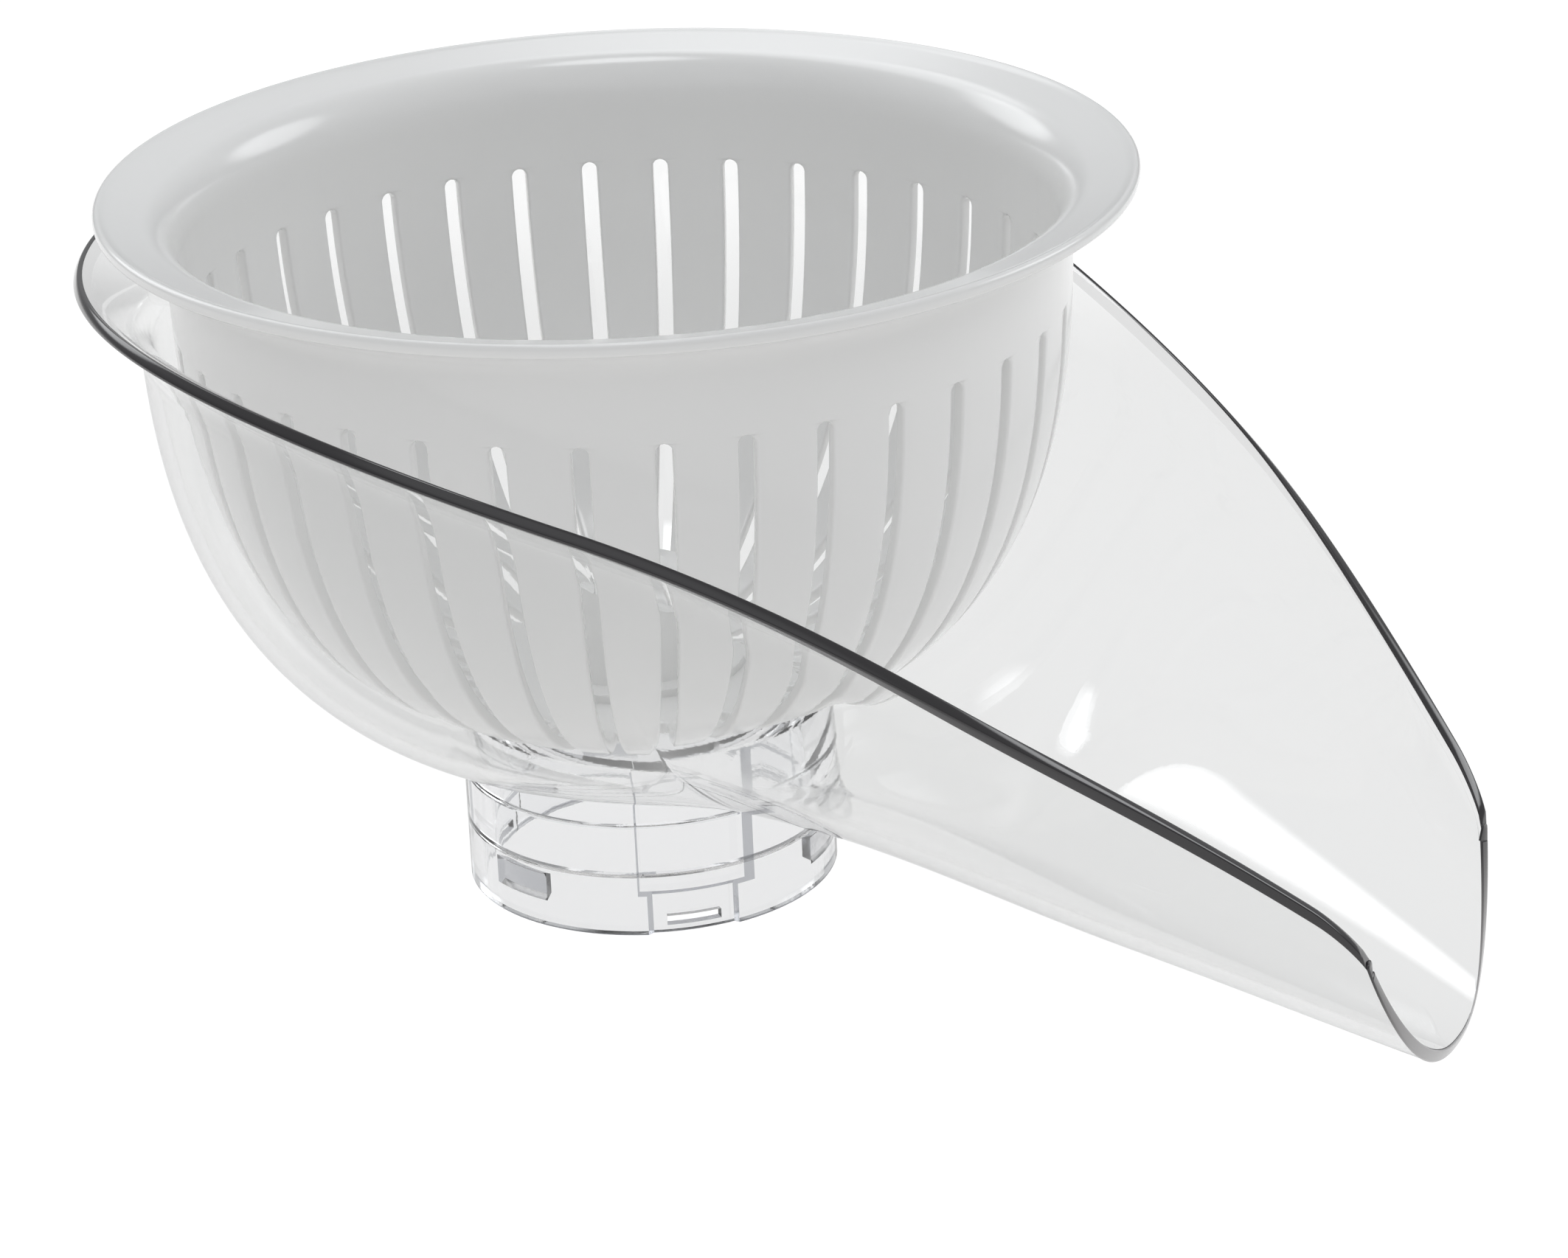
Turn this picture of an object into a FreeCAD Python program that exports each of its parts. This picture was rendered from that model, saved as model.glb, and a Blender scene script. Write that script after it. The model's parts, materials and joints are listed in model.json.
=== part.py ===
import FreeCAD, Part
import Sketcher
import math
import os

# A salad spinner: a slotted basket that turns on a vertical spindle inside a clear bowl,
# which is drawn out into a long pouring spout. Millimetres, +Z up along the spindle,
# +X along the spout. The origin is the centre of the foot collar's lower face.

os.makedirs("parts", exist_ok=True)
doc = FreeCAD.newDocument("SaladSpinner")
Vec = FreeCAD.Vector

# ---------------------------------------------------------------- driving dimensions

SIZES = {
    # clear bowl and its spout
    "bowl_radius": (125.9, "rim radius round the back of the bowl"),
    "bowl_wall": (3.0, "wall of the bowl and spout"),
    "bowl_floor_level": (33.0, "underside of the bowl's floor"),
    "rim_level": (155.3, "rim level at the very back"),
    "rim_flare": (13.9, "how far the rim flares out from the wall"),
    "flare_depth": (16.0, "how far below the rim the flare starts"),
    "spout_reach": (196.0, "spout corners, measured from the spindle"),
    "spout_half_width": (42.5, "half the width of the spout's mouth"),
    "spout_drop": (125.3, "how far the spout corners lie below the back rim"),
    "keel_start": (20.0, "underside of the trough beside the collar"),
    "lip_level": (-14.6, "lowest point of the spout, under the foot's face"),
    "lip_lean": (0.17, "forward lean of the spout's mouth, run over rise"),
    # foot collar
    "collar_radius": (44.3, "outside of the foot collar"),
    "socket_radius": (41.0, "mouth of the collar, where the drive base enters"),
    "pilot_radius": (38.5, "bore that centres the drive base, clear of the lugs"),
    "pilot_level": (14.0, "foot of that bore, above the foot's face"),
    "ledge_radius": (36.5, "bore above the stop ledge"),
    "ledge_level": (26.0, "stop ledge, above the foot's face"),
    "deck_level": (43.0, "top of the closed deck over the collar"),
    "deck_wall": (3.0, "thickness of the deck"),
    "window_angle": (27.5, "width of a clip recess, degrees"),
    "window_height": (10.5, "height of a clip recess"),
    "window_depth": (1.2, "depth of a clip recess"),
    "latch_angle": (19.0, "width of a latch slot, degrees"),
    "latch_height": (3.4, "height of a latch slot"),
    "latch_level": (1.2, "lower edge of a latch slot"),
    "lug_angle": (22.0, "width of a bayonet lug, degrees"),
    "lug_depth": (2.2, "how far a bayonet lug stands in from the bore"),
    "lug_level": (6.0, "lower face of a bayonet lug"),
    "lug_height": (6.0, "height of a bayonet lug"),
    "clip_count": (3.0, "windows, and lugs, round the collar"),
    "collar_turn": (-50.0, "angle of the first window from the spout, degrees"),
    # bearing tower and running gear
    "tower_radius": (9.0, "outside of the bearing tower"),
    "tower_top": (54.0, "top of the bearing tower"),
    "tower_drop": (3.0, "tower below the deck"),
    "bush_wall": (1.95, "wall of the bearing bush"),
    "bush_flange": (1.5, "thickness of the bush's flange"),
    "running_gap": (0.05, "radial running clearance of the spindle"),
    "spindle_radius": (4.0, "radius of the spindle"),
    "seal_height": (1.5, "height of the shaft seal"),
    "washer_height": (0.8, "thickness of a thrust washer"),
    "end_float": (0.2, "axial play of the spindle, each end"),
    "dog_flats": (14.0, "across the flats of the driving hexagon"),
    "dog_base": (2.0, "thickness of the dog's round base"),
    "dog_height": (8.0, "height of the driving hexagon"),
    "pin_radius": (1.0, "radius of the cross pin"),
    "coupling_radius": (10.0, "radius of the lower coupling"),
    "coupling_height": (4.0, "height of the lower coupling"),
    "notch_count": (6.0, "drive notches round the lower coupling"),
    "notch_width": (3.2, "width of a drive notch"),
    "notch_depth": (2.6, "radial depth of a drive notch"),
    "clip_wall": (0.6, "thickness of the retaining clip"),
    "clip_groove": (0.7, "radial depth of the clip's groove"),
    # basket
    "flange_radius": (120.0, "outside of the basket's flange"),
    "flange_level": (172.9, "top of the basket's flange"),
    "flange_edge": (3.2, "thickness of the flange at its edge"),
    "flange_fall": (2.5, "how far the flange falls towards the basket"),
    "basket_radius": (104.3, "outside of the basket's wall under the flange"),
    "basket_floor_level": (47.0, "underside of the basket's floor"),
    "floor_margin": (2.0, "flat floor left round the hub's flange"),
    "basket_wall": (3.0, "wall of the basket"),
    "slot_count": (36.0, "slots round the basket"),
    "slot_width": (3.7, "width of a slot"),
    "slot_top": (144.0, "upper end of the slots"),
    "slot_inner": (42.0, "radius where the slots end under the floor"),
    "slot_turn": (2.2, "angle of the first slot from the spout, degrees"),
    # hub in the basket's floor
    "hub_spigot": (20.0, "radius of the hole in the basket's floor"),
    "hub_overhang": (4.0, "how far the hub's flange stands out past that hole"),
    "hub_flange_wall": (2.0, "thickness of the hub's flange"),
    "hub_bore": (11.5, "bore of the hub, round the tower and the socket"),
    "hub_neck": (14.2, "outside of the hub at its top"),
    "socket_gap": (0.35, "clearance on each flat of the hexagon"),
    "socket_roof": (1.8, "thickness of the socket's closed end"),
    "dog_headroom": (1.0, "space over the dog inside the socket"),
    "cap_spigot": (2.0, "depth of the cap's spigot in the hub"),
    "cap_dome": (3.4, "height of the cap over the hub"),
}

sheet = doc.addObject("Spreadsheet::Sheet", "Sizes")
for row, (alias, (value, meaning)) in enumerate(SIZES.items(), start=1):
    sheet.set(f"A{row}", alias)
    sheet.set(f"B{row}", str(value))
    sheet.set(f"C{row}", meaning)
    sheet.setAlias(f"B{row}", alias)
doc.recompute()


def size(alias):
    """The present value of one cell of the sheet."""
    return float(sheet.get(alias))


def bind(obj, **expressions):
    """Tie properties of an object to the sheet; a bare word is a cell's alias."""
    for prop, text in expressions.items():
        obj.setExpression(prop, cells(text))


def cells(text):
    """Put the sheet's name in front of every alias in an expression."""
    words = []
    word = ""
    for letter in text + " ":
        if letter.isalnum() or letter == "_":
            word += letter
            continue
        words.append(f"Sizes.{word}" if word in SIZES else word)
        words.append(letter)
        word = ""
    return "".join(words).strip()


# ---------------------------------------------------------------- sketch helpers

ORIGIN = -1
V_AXIS = -2


def new_body(name):
    body = doc.addObject("PartDesign::Body", name)
    body.Label = name
    return body


def plane(body, role):
    return next(f for f in body.Origin.OriginFeatures if f.Role == role)


def new_sketch(body, name, role):
    sketch = body.newObject("Sketcher::SketchObject", name)
    sketch.AttachmentSupport = [(plane(body, role), "")]
    sketch.MapMode = "FlatFace"
    return sketch


def hold(sketch, kind, geometry, point, text):
    """Hold one coordinate of a sketch point at an expression's value."""
    value = float(sheet.evalExpression(cells(text).replace("Sizes.", "")))
    if abs(value) < 1e-9:
        axis = V_AXIS if kind == "DistanceX" else ORIGIN
        sketch.addConstraint(Sketcher.Constraint("PointOnObject", geometry, point, axis))
        return
    index = sketch.addConstraint(Sketcher.Constraint(kind, ORIGIN, 1, geometry, point, value))
    sketch.setExpression(f"Constraints[{index}]", cells(text))


def value_of(text):
    return float(sheet.evalExpression(cells(text).replace("Sizes.", "")))


def outline(sketch, corners):
    """A closed outline of straight lines through corners given as pairs of expressions."""
    points = [Vec(value_of(a), value_of(b), 0) for a, b in corners]
    count = len(points)
    lines = []
    for i in range(count):
        segment = Part.LineSegment(points[i], points[(i + 1) % count])
        lines.append(sketch.addGeometry(segment, False))
    for i in range(count):
        following = lines[(i + 1) % count]
        sketch.addConstraint(Sketcher.Constraint("Coincident", lines[i], 2, following, 1))
    for line, (a, b) in zip(lines, corners):
        hold(sketch, "DistanceX", line, 1, a)
        hold(sketch, "DistanceY", line, 1, b)


def turned(body, name, corners):
    """Add the solid that the outline, in the XZ plane, sweeps round the Z axis."""
    sketch = new_sketch(body, name + "_profile", "XZ_Plane")
    outline(sketch, corners)
    feature = body.newObject("PartDesign::Revolution", name)
    feature.Profile = sketch
    feature.ReferenceAxis = (sketch, ["V_Axis"])
    feature.Angle = 360
    doc.recompute()
    return feature


def sector(body, kind, name, corners, angle):
    """Add or cut a part turn of the outline, centred on the XZ plane."""
    sketch = new_sketch(body, name + "_profile", "XZ_Plane")
    outline(sketch, corners)
    feature = body.newObject("PartDesign::" + kind, name)
    feature.Profile = sketch
    feature.ReferenceAxis = (sketch, ["V_Axis"])
    feature.Midplane = True
    feature.setExpression("Angle", cells(angle))
    doc.recompute()
    return feature


def round_pattern(body, name, feature, count):
    """Repeat a feature evenly round the Z axis."""
    pattern = body.newObject("PartDesign::PolarPattern", name)
    pattern.Originals = [feature]
    pattern.Axis = (plane(body, "Z_Axis"), [""])
    pattern.Angle = 360
    pattern.setExpression("Occurrences", cells(count))
    body.Tip = pattern
    doc.recompute()
    return pattern


def hexagon(body, name, kind, level, flats, height):
    """Pad or pocket a hexagonal prism that stands on the given level."""
    sketch = new_sketch(body, name + "_profile", "XY_Plane")
    sketch.setExpression(".AttachmentOffset.Base.z", cells(level))
    reach = f"({flats}) / sqrt(3)"
    corner_terms = [(1, 0), (0.5, 0.5), (-0.5, 0.5), (-1, 0), (-0.5, -0.5), (0.5, -0.5)]
    corners = []
    for along, across in corner_terms:
        corners.append((f"{along} * {reach}", f"{across} * ({flats})"))
    outline(sketch, corners)
    feature = body.newObject("PartDesign::" + kind, name)
    feature.Profile = sketch
    feature.setExpression("Length", cells(height))
    feature.Reversed = kind == "Pocket"
    doc.recompute()
    return feature


# ---------------------------------------------------------------- the bowl's surface

BACK_STEPS = 22       # meridians round the back half, from the middle to the side
FRONT_STEPS = 46      # sections from the side to the spout's mouth
RISE_STEPS = 26       # points up each of them
SAMPLES = 160         # fine samples from which those points are taken


def ease(low, high, x):
    """Zero below low, one above high and a smooth change between."""
    t = min(1.0, max(0.0, (x - low) / (high - low)))
    return t * t * (3 - 2 * t)


def rim_bezier():
    """The rim's plan beyond the round back: a cubic from the circle to the spout's corner."""
    radius = size("bowl_radius")
    leave = math.radians(69.2)
    meet = math.radians(33.7)
    start = Vec(radius * math.cos(leave), radius * math.sin(leave), 0)
    end = Vec(size("spout_reach"), size("spout_half_width"), 0)
    handle = 0.6 * start.distanceToPoint(end)
    first = start + Vec(math.sin(leave), -math.cos(leave), 0) * handle
    second = end + Vec(-math.cos(meet), math.sin(meet), 0) * handle
    curve = Part.BezierCurve()
    curve.setPoles([start, first, second, end])
    return curve


RIM_PLAN = rim_bezier()


def rim_half_width(x):
    """Half the width of the rim at x, for x from 0 to the spout's corner."""
    radius = size("bowl_radius")
    if x <= RIM_PLAN.StartPoint.x:
        return math.sqrt(radius ** 2 - x ** 2)
    low, high = 0.0, 1.0
    for _ in range(40):
        middle = (low + high) / 2
        if RIM_PLAN.value(middle).x < x:
            low = middle
        else:
            high = middle
    return RIM_PLAN.value(high).y


def rim_height(x):
    """Level of the rim: a gentle crown over the back, then a long fall to the spout."""
    length = size("bowl_radius") + size("spout_reach")
    u = (x + size("bowl_radius")) / length
    crown, bend, fall = 22.5, 105.3, 42.5
    shape = -crown * u + bend * u ** 2 + fall * u ** 3
    return size("rim_level") - shape * size("spout_drop") / (bend + fall - crown)


def keel_height(x):
    """Underside of the trough on the middle plane, from the collar to the mouth."""
    start = size("collar_radius")
    end = mouth_reach()
    u = (x - start) / (end - start)
    slope = 0.48
    drop = size("keel_start") - size("lip_level")
    line = size("keel_start") - drop * (slope * u + (1 - slope) * u ** 2)
    inside = ease(0, start, x)
    return size("bowl_floor_level") + (line - size("bowl_floor_level")) * inside


def mouth_reach():
    """How far the lowest point of the mouth lies from the spindle."""
    depth = rim_height(size("spout_reach")) - size("lip_level")
    return size("spout_reach") + size("lip_lean") * depth


def fullness(x):
    """The two exponents of a section: round bowl, keeled trough, then a round mouth."""
    keel = ease(0, size("collar_radius"), x)
    mouth = ease(0.32 * size("spout_reach"), size("spout_reach"), x)
    floor_power = 2.6 - 1.3 * keel + 1.0 * mouth
    wall_power = 2.6 - 0.4 * keel - 1.0 * mouth
    return floor_power, wall_power


def rise(width, low, high, floor_power, wall_power, flare, share):
    """Half a section as points (out, up), evenly stepped by length, closer near the rim."""
    fine = []
    for k in range(SAMPLES + 1):
        turn = math.pi / 4 * (1 - math.cos(math.pi * k / SAMPLES))
        out = math.sin(turn) ** (2 / floor_power)
        up = 1 - max(0.0, math.cos(turn)) ** (2 / wall_power)
        level = low + (high - low) * up
        near = max(0.0, 1 - (high - level) / size("flare_depth"))
        fine.append((width * out + flare * near ** 2, level))
    lengths = [0.0]
    for a, b in zip(fine, fine[1:]):
        lengths.append(lengths[-1] + math.dist(a, b))
    points = []
    k = 0
    for j in range(RISE_STEPS + 1):
        target = share * lengths[-1] * (1 - (1 - j / RISE_STEPS) ** 1.4)
        while k < SAMPLES - 1 and lengths[k + 1] < target:
            k += 1
        span = lengths[k + 1] - lengths[k]
        t = min(1.0, (target - lengths[k]) / span) if span else 0.0
        a, b = fine[k], fine[k + 1]
        points.append((a[0] + t * (b[0] - a[0]), a[1] + t * (b[1] - a[1])))
    points[0] = (0.0, low)
    return points


def corner_share(x):
    """How much of a section is left where the spout's corner is rounded off."""
    start = size("spout_reach") - 9
    t = max(0.0, (x - start) / (size("spout_reach") - start))
    return 1 - 0.11 * (1 - math.sqrt(max(0.0, 1 - t ** 2)))


def outer_grid():
    """Rows of points on the outside: meridians round the back, then sections."""
    radius = size("bowl_radius")
    rows = []
    for i in range(BACK_STEPS):
        angle = math.pi * (1 - 0.5 * i / BACK_STEPS)
        high = rim_height(radius * math.cos(angle))
        width = radius - size("rim_flare")
        low = size("bowl_floor_level")
        profile = rise(width, low, high, 2.6, 2.6, size("rim_flare"), 1.0)
        rows.append([Vec(out * math.cos(angle), out * math.sin(angle), up) for out, up in profile])
    for i in range(FRONT_STEPS + 1):
        t = i / FRONT_STEPS
        x = size("spout_reach") * (1 - (1 - t) ** 1.25)
        high = rim_height(x)
        lean = size("lip_lean") * ease(0.7 * size("spout_reach"), size("spout_reach"), x)
        low = keel_height(x + lean * (high - size("lip_level")))
        flare = size("rim_flare") * (1 - ease(0.1 * size("spout_reach"), 0.98 * size("spout_reach"), x))
        floor_power, wall_power = fullness(x)
        width = rim_half_width(x) - flare
        profile = rise(width, low, high, floor_power, wall_power, flare, corner_share(x))
        rows.append([Vec(x + lean * (high - up), out, up) for out, up in profile])
    return rows


def inner_grid(rows, wall):
    """The same points moved in by the wall, square to the surface."""
    last, top = len(rows) - 1, len(rows[0]) - 1
    inner = []
    for i, row in enumerate(rows):
        shifted = []
        for j, point in enumerate(row):
            along = rows[min(i + 1, last)][j] - rows[max(i - 1, 0)][j]
            up = row[min(j + 1, top)] - row[max(j - 1, 0)]
            normal = along.cross(up)
            if j == 0 and i <= BACK_STEPS:
                normal = Vec(0, 0, 1)
            elif j == 0:
                normal = Vec(0, 1, 0).cross(along) * -1
            if normal.z < 0 and j < top // 2:
                normal = normal * -1
            if i == 0 or j == 0:
                normal.y = 0
            normal.normalize()
            shifted.append(point + normal * wall)
        inner.append(shifted)
    return inner


def clamped(count):
    """Knots and multiplicities of a uniform cubic that starts and ends on its end poles."""
    knots = [float(k) for k in range(count - 2)]
    return [4] + [1] * (count - 4) + [4], knots


def spline_edge(poles):
    mults, knots = clamped(len(poles))
    curve = Part.BSplineCurve()
    curve.buildFromPolesMultsKnots(poles, mults, knots, False, 3)
    return curve.toShape()


def spline_face(rows):
    u_mults, u_knots = clamped(len(rows))
    v_mults, v_knots = clamped(len(rows[0]))
    surface = Part.BSplineSurface()
    surface.buildFromPolesMultsKnots(rows, u_mults, v_mults, u_knots, v_knots, False, False, 3, 3)
    return surface.toShape()


def middle_face(outer, inner):
    """The flat face on the middle plane between an outer and an inner line."""
    ends = [Part.makeLine(outer[0], inner[0]), Part.makeLine(outer[-1], inner[-1])]
    wire = Part.Wire(Part.__sortEdges__([spline_edge(outer), ends[1], spline_edge(inner), ends[0]]))
    return Part.Face(wire)


def half_bowl():
    """The half of the bowl at positive y, sewn from its outside, inside and edges."""
    outer = outer_grid()
    inner = inner_grid(outer, size("bowl_wall"))
    back, front = slice(0, BACK_STEPS + 1), slice(BACK_STEPS, None)
    faces = []
    for part in (back, front):
        faces += [spline_face(outer[part]), spline_face(inner[part])]
        rims = [spline_edge([row[-1] for row in grid[part]]) for grid in (outer, inner)]
        faces.append(Part.makeRuledSurface(*rims))
    faces.append(Part.makeRuledSurface(spline_edge(outer[-1]), spline_edge(inner[-1])))
    faces.append(middle_face(outer[0], inner[0]))
    keels = [[row[0] for row in grid[front]] for grid in (outer, inner)]
    faces.append(middle_face(*keels))
    shell = Part.makeCompound(faces)
    shell.sewShape(0.01)
    solid = Part.Solid(shell.Shells[0] if shell.Shells else Part.Shell(shell.Faces))
    if solid.Volume < 0:
        solid.reverse()
    return solid


def whole_bowl():
    half = half_bowl()
    return half.fuse(half.mirror(Vec(0, 0, 0), Vec(0, 1, 0)))


bowl_moulding = doc.addObject("Part::Feature", "bowl_moulding")
bowl_moulding.Shape = whole_bowl()

collar_hole = doc.addObject("Part::Cylinder", "collar_hole")
bind(collar_hole, Radius="collar_radius", Height="deck_level + 40")
collar_hole.setExpression("Placement.Base.z", cells("lip_level - 20"))
pouring_bowl = doc.addObject("Part::Cut", "pouring_bowl")
pouring_bowl.Base, pouring_bowl.Tool = bowl_moulding, collar_hole
doc.recompute()

# ---------------------------------------------------------------- foot collar and bearing

DECK_UNDER = "(deck_level - deck_wall)"
TOWER_FOOT = f"({DECK_UNDER} - tower_drop)"
BUSH_RADIUS = "(spindle_radius + running_gap + bush_wall)"
BUSH_BORE = "(spindle_radius + running_gap)"
SEAL_LEVEL = "(tower_top + bush_flange)"
DOG_LEVEL = "(tower_top + bush_flange + seal_height + end_float + washer_height)"
DOG_TOP = f"({DOG_LEVEL} + dog_base + dog_height)"
PIN_LEVEL = f"({DOG_LEVEL} + dog_base + 0.4 * dog_height)"
LOWER_WASHER = f"({TOWER_FOOT} - end_float - washer_height)"
COUPLING_LEVEL = f"({LOWER_WASHER} - coupling_height)"
CLIP_LEVEL = f"({COUPLING_LEVEL} - clip_wall)"
SPINDLE_FOOT = f"({CLIP_LEVEL} - 2 * clip_wall)"


def make_foot_collar():
    """Tube, pilot bore, stop ledge, closed deck and bearing tower, with windows and lugs."""
    body = new_body("foot_collar")
    turned(body, "collar_tube", [
        ("socket_radius", "0"), ("collar_radius", "0"), ("collar_radius", "deck_level"),
        ("tower_radius", "deck_level"), ("tower_radius", "tower_top"),
        (BUSH_RADIUS, "tower_top"), (BUSH_RADIUS, TOWER_FOOT), ("tower_radius", TOWER_FOOT),
        ("tower_radius", DECK_UNDER), ("ledge_radius", DECK_UNDER),
        ("ledge_radius", "ledge_level"), ("pilot_radius", "ledge_level"),
        ("pilot_radius", "pilot_level"), ("socket_radius", "pilot_level"),
    ])
    recess = sector(body, "Groove", "clip_recess", [
        ("collar_radius - window_depth", "0"), ("collar_radius + 2", "0"),
        ("collar_radius + 2", "window_height"), ("collar_radius - window_depth", "window_height"),
    ], "window_angle")
    round_pattern(body, "clip_recesses", recess, "clip_count")
    slot = sector(body, "Groove", "latch_slot", [
        ("socket_radius - 1", "latch_level"), ("collar_radius + 1", "latch_level"),
        ("collar_radius + 1", "latch_level + latch_height"),
        ("socket_radius - 1", "latch_level + latch_height"),
    ], "latch_angle")
    round_pattern(body, "latch_slots", slot, "clip_count")
    lug = sector(body, "Revolution", "bayonet_lug", [
        ("0 - socket_radius - 0.5", "lug_level"), ("lug_depth - socket_radius", "lug_level"),
        ("lug_depth - socket_radius", "lug_level + lug_height"),
        ("0 - socket_radius - 0.5", "lug_level + lug_height"),
    ], "lug_angle")
    round_pattern(body, "bayonet_lugs", lug, "clip_count")
    body.setExpression(".Placement.Rotation.Angle", cells("collar_turn"))
    return body


def make_bearing_bush():
    body = new_body("bearing_bush")
    turned(body, "bush", [
        (BUSH_BORE, TOWER_FOOT), (BUSH_RADIUS, TOWER_FOOT), (BUSH_RADIUS, "tower_top"),
        ("tower_radius - 1", "tower_top"), ("tower_radius - 1", SEAL_LEVEL),
        (BUSH_BORE, SEAL_LEVEL),
    ])
    return body


def make_shaft_seal():
    """A ring of soft rubber with a thinner lip that wipes the spindle."""
    body = new_body("shaft_seal")
    turned(body, "seal", [
        (f"{BUSH_BORE}", f"{SEAL_LEVEL}"), ("tower_radius - 1.5", SEAL_LEVEL),
        ("tower_radius - 1.5", f"{SEAL_LEVEL} + seal_height"),
        (f"{BUSH_BORE} + 1.2", f"{SEAL_LEVEL} + seal_height"),
        (BUSH_BORE, f"{SEAL_LEVEL} + 0.5 * seal_height"),
    ])
    return body


# ---------------------------------------------------------------- what turns with the spindle


def make_spindle():
    """Steel shaft with a groove for the retaining clip and a cross hole for the pin."""
    body = new_body("spindle")
    chamfer = 0.5
    groove = "(spindle_radius - clip_groove)"
    turned(body, "shaft", [
        ("0", SPINDLE_FOOT), (f"spindle_radius - {chamfer}", SPINDLE_FOOT),
        ("spindle_radius", f"{SPINDLE_FOOT} + {chamfer}"), ("spindle_radius", CLIP_LEVEL),
        (groove, CLIP_LEVEL), (groove, COUPLING_LEVEL), ("spindle_radius", COUPLING_LEVEL),
        ("spindle_radius", f"{DOG_TOP} - 2"), (f"spindle_radius - {chamfer}", f"{DOG_TOP} - 1.5"),
        ("0", f"{DOG_TOP} - 1.5"),
    ])
    drill(body)
    return body


def drill(body):
    """The cross hole through a piece on the spindle's axis, along Y."""
    sketch = new_sketch(body, "pin_hole_profile", "XZ_Plane")
    circle = sketch.addGeometry(Part.Circle(Vec(0, value_of(PIN_LEVEL), 0), Vec(0, 0, 1), 1), False)
    hold(sketch, "DistanceX", circle, 3, "0")
    hold(sketch, "DistanceY", circle, 3, PIN_LEVEL)
    index = sketch.addConstraint(Sketcher.Constraint("Radius", circle, size("pin_radius")))
    sketch.setExpression(f"Constraints[{index}]", cells("pin_radius"))
    hole = body.newObject("PartDesign::Pocket", "pin_hole")
    hole.Profile = sketch
    hole.Type = "ThroughAll"
    hole.Midplane = True
    doc.recompute()


def make_thrust_washer(name, level):
    body = new_body(name)
    turned(body, name + "_ring", [
        ("spindle_radius", level), ("tower_radius - 1.5", level),
        ("tower_radius - 1.5", f"{level} + washer_height"),
        ("spindle_radius", f"{level} + washer_height"),
    ])
    return body


def make_drive_dog():
    """Round base and hexagonal head that carry the basket round."""
    body = new_body("drive_dog")
    turned(body, "dog_base", [
        ("spindle_radius", DOG_LEVEL), ("0.5 * dog_flats + 1.5", DOG_LEVEL),
        ("0.5 * dog_flats + 1.5", f"{DOG_LEVEL} + dog_base"),
        ("spindle_radius", f"{DOG_LEVEL} + dog_base"),
    ])
    hexagon(body, "dog_head", "Pad", f"{DOG_LEVEL} + dog_base", "dog_flats", "dog_height")
    sketch = new_sketch(body, "dog_bore_profile", "XZ_Plane")
    outline(sketch, [
        ("0", f"{DOG_LEVEL}"), ("spindle_radius", DOG_LEVEL),
        ("spindle_radius", f"{DOG_TOP} - 1.5"), ("0", f"{DOG_TOP} - 1.5"),
    ])
    bore = body.newObject("PartDesign::Groove", "dog_bore")
    bore.Profile = sketch
    bore.ReferenceAxis = (sketch, ["V_Axis"])
    bore.Angle = 360
    doc.recompute()
    drill(body)
    return body


def make_drive_pin():
    """The cross pin that locks the dog to the spindle; it lies along Y."""
    pin = doc.addObject("Part::Cylinder", "drive_pin")
    pin.Placement.Rotation = FreeCAD.Rotation(Vec(1, 0, 0), 90)
    bind(pin, Radius="pin_radius", Height="dog_flats - 0.8")
    pin.setExpression("Placement.Base.y", cells("0.5 * dog_flats - 0.4"))
    pin.setExpression("Placement.Base.z", cells(PIN_LEVEL))
    return pin


def make_drive_coupling():
    """Notched disc on the spindle's foot, which the drive base engages."""
    body = new_body("drive_coupling")
    turned(body, "coupling_disc", [
        ("spindle_radius", COUPLING_LEVEL), ("coupling_radius", COUPLING_LEVEL),
        ("coupling_radius", f"{LOWER_WASHER} - 1"), ("coupling_radius - 1", LOWER_WASHER),
        ("spindle_radius", LOWER_WASHER),
    ])
    sketch = new_sketch(body, "notch_profile", "XY_Plane")
    sketch.setExpression(".AttachmentOffset.Base.z", cells(f"{COUPLING_LEVEL} - 1"))
    inner, half = "coupling_radius - notch_depth", "0.5 * notch_width"
    outline(sketch, [
        (inner, f"0 - {half}"), ("coupling_radius + 1", f"0 - {half}"),
        ("coupling_radius + 1", half), (inner, half),
    ])
    notch = body.newObject("PartDesign::Pocket", "notch")
    notch.Profile = sketch
    notch.setExpression("Length", cells("coupling_height + 2"))
    notch.Reversed = True
    doc.recompute()
    round_pattern(body, "notches", notch, "notch_count")
    return body


def make_retaining_clip():
    """Open spring ring in the spindle's groove, under the coupling."""
    body = new_body("retaining_clip")
    sketch = new_sketch(body, "clip_profile", "XZ_Plane")
    outline(sketch, [
        ("spindle_radius - clip_groove", CLIP_LEVEL), ("spindle_radius + 1.6", CLIP_LEVEL),
        ("spindle_radius + 1.6", COUPLING_LEVEL), ("spindle_radius - clip_groove", COUPLING_LEVEL),
    ])
    ring = body.newObject("PartDesign::Revolution", "clip_ring")
    ring.Profile = sketch
    ring.ReferenceAxis = (sketch, ["V_Axis"])
    ring.Angle = 290
    doc.recompute()
    return body


# ---------------------------------------------------------------- basket

HUB_LEVEL = "(basket_floor_level + basket_wall)"
SOCKET_FOOT = f"({DOG_LEVEL} + dog_base + 0.3)"
SOCKET_TOP = f"({DOG_TOP} + dog_headroom + socket_roof)"
HUB_TOP = f"({SOCKET_TOP} + cap_spigot)"
HUB_FLANGE = "(hub_spigot + hub_overhang)"
FLOOR_RADIUS = f"({HUB_FLANGE} + floor_margin)"
WALL_POINTS = 16


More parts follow.
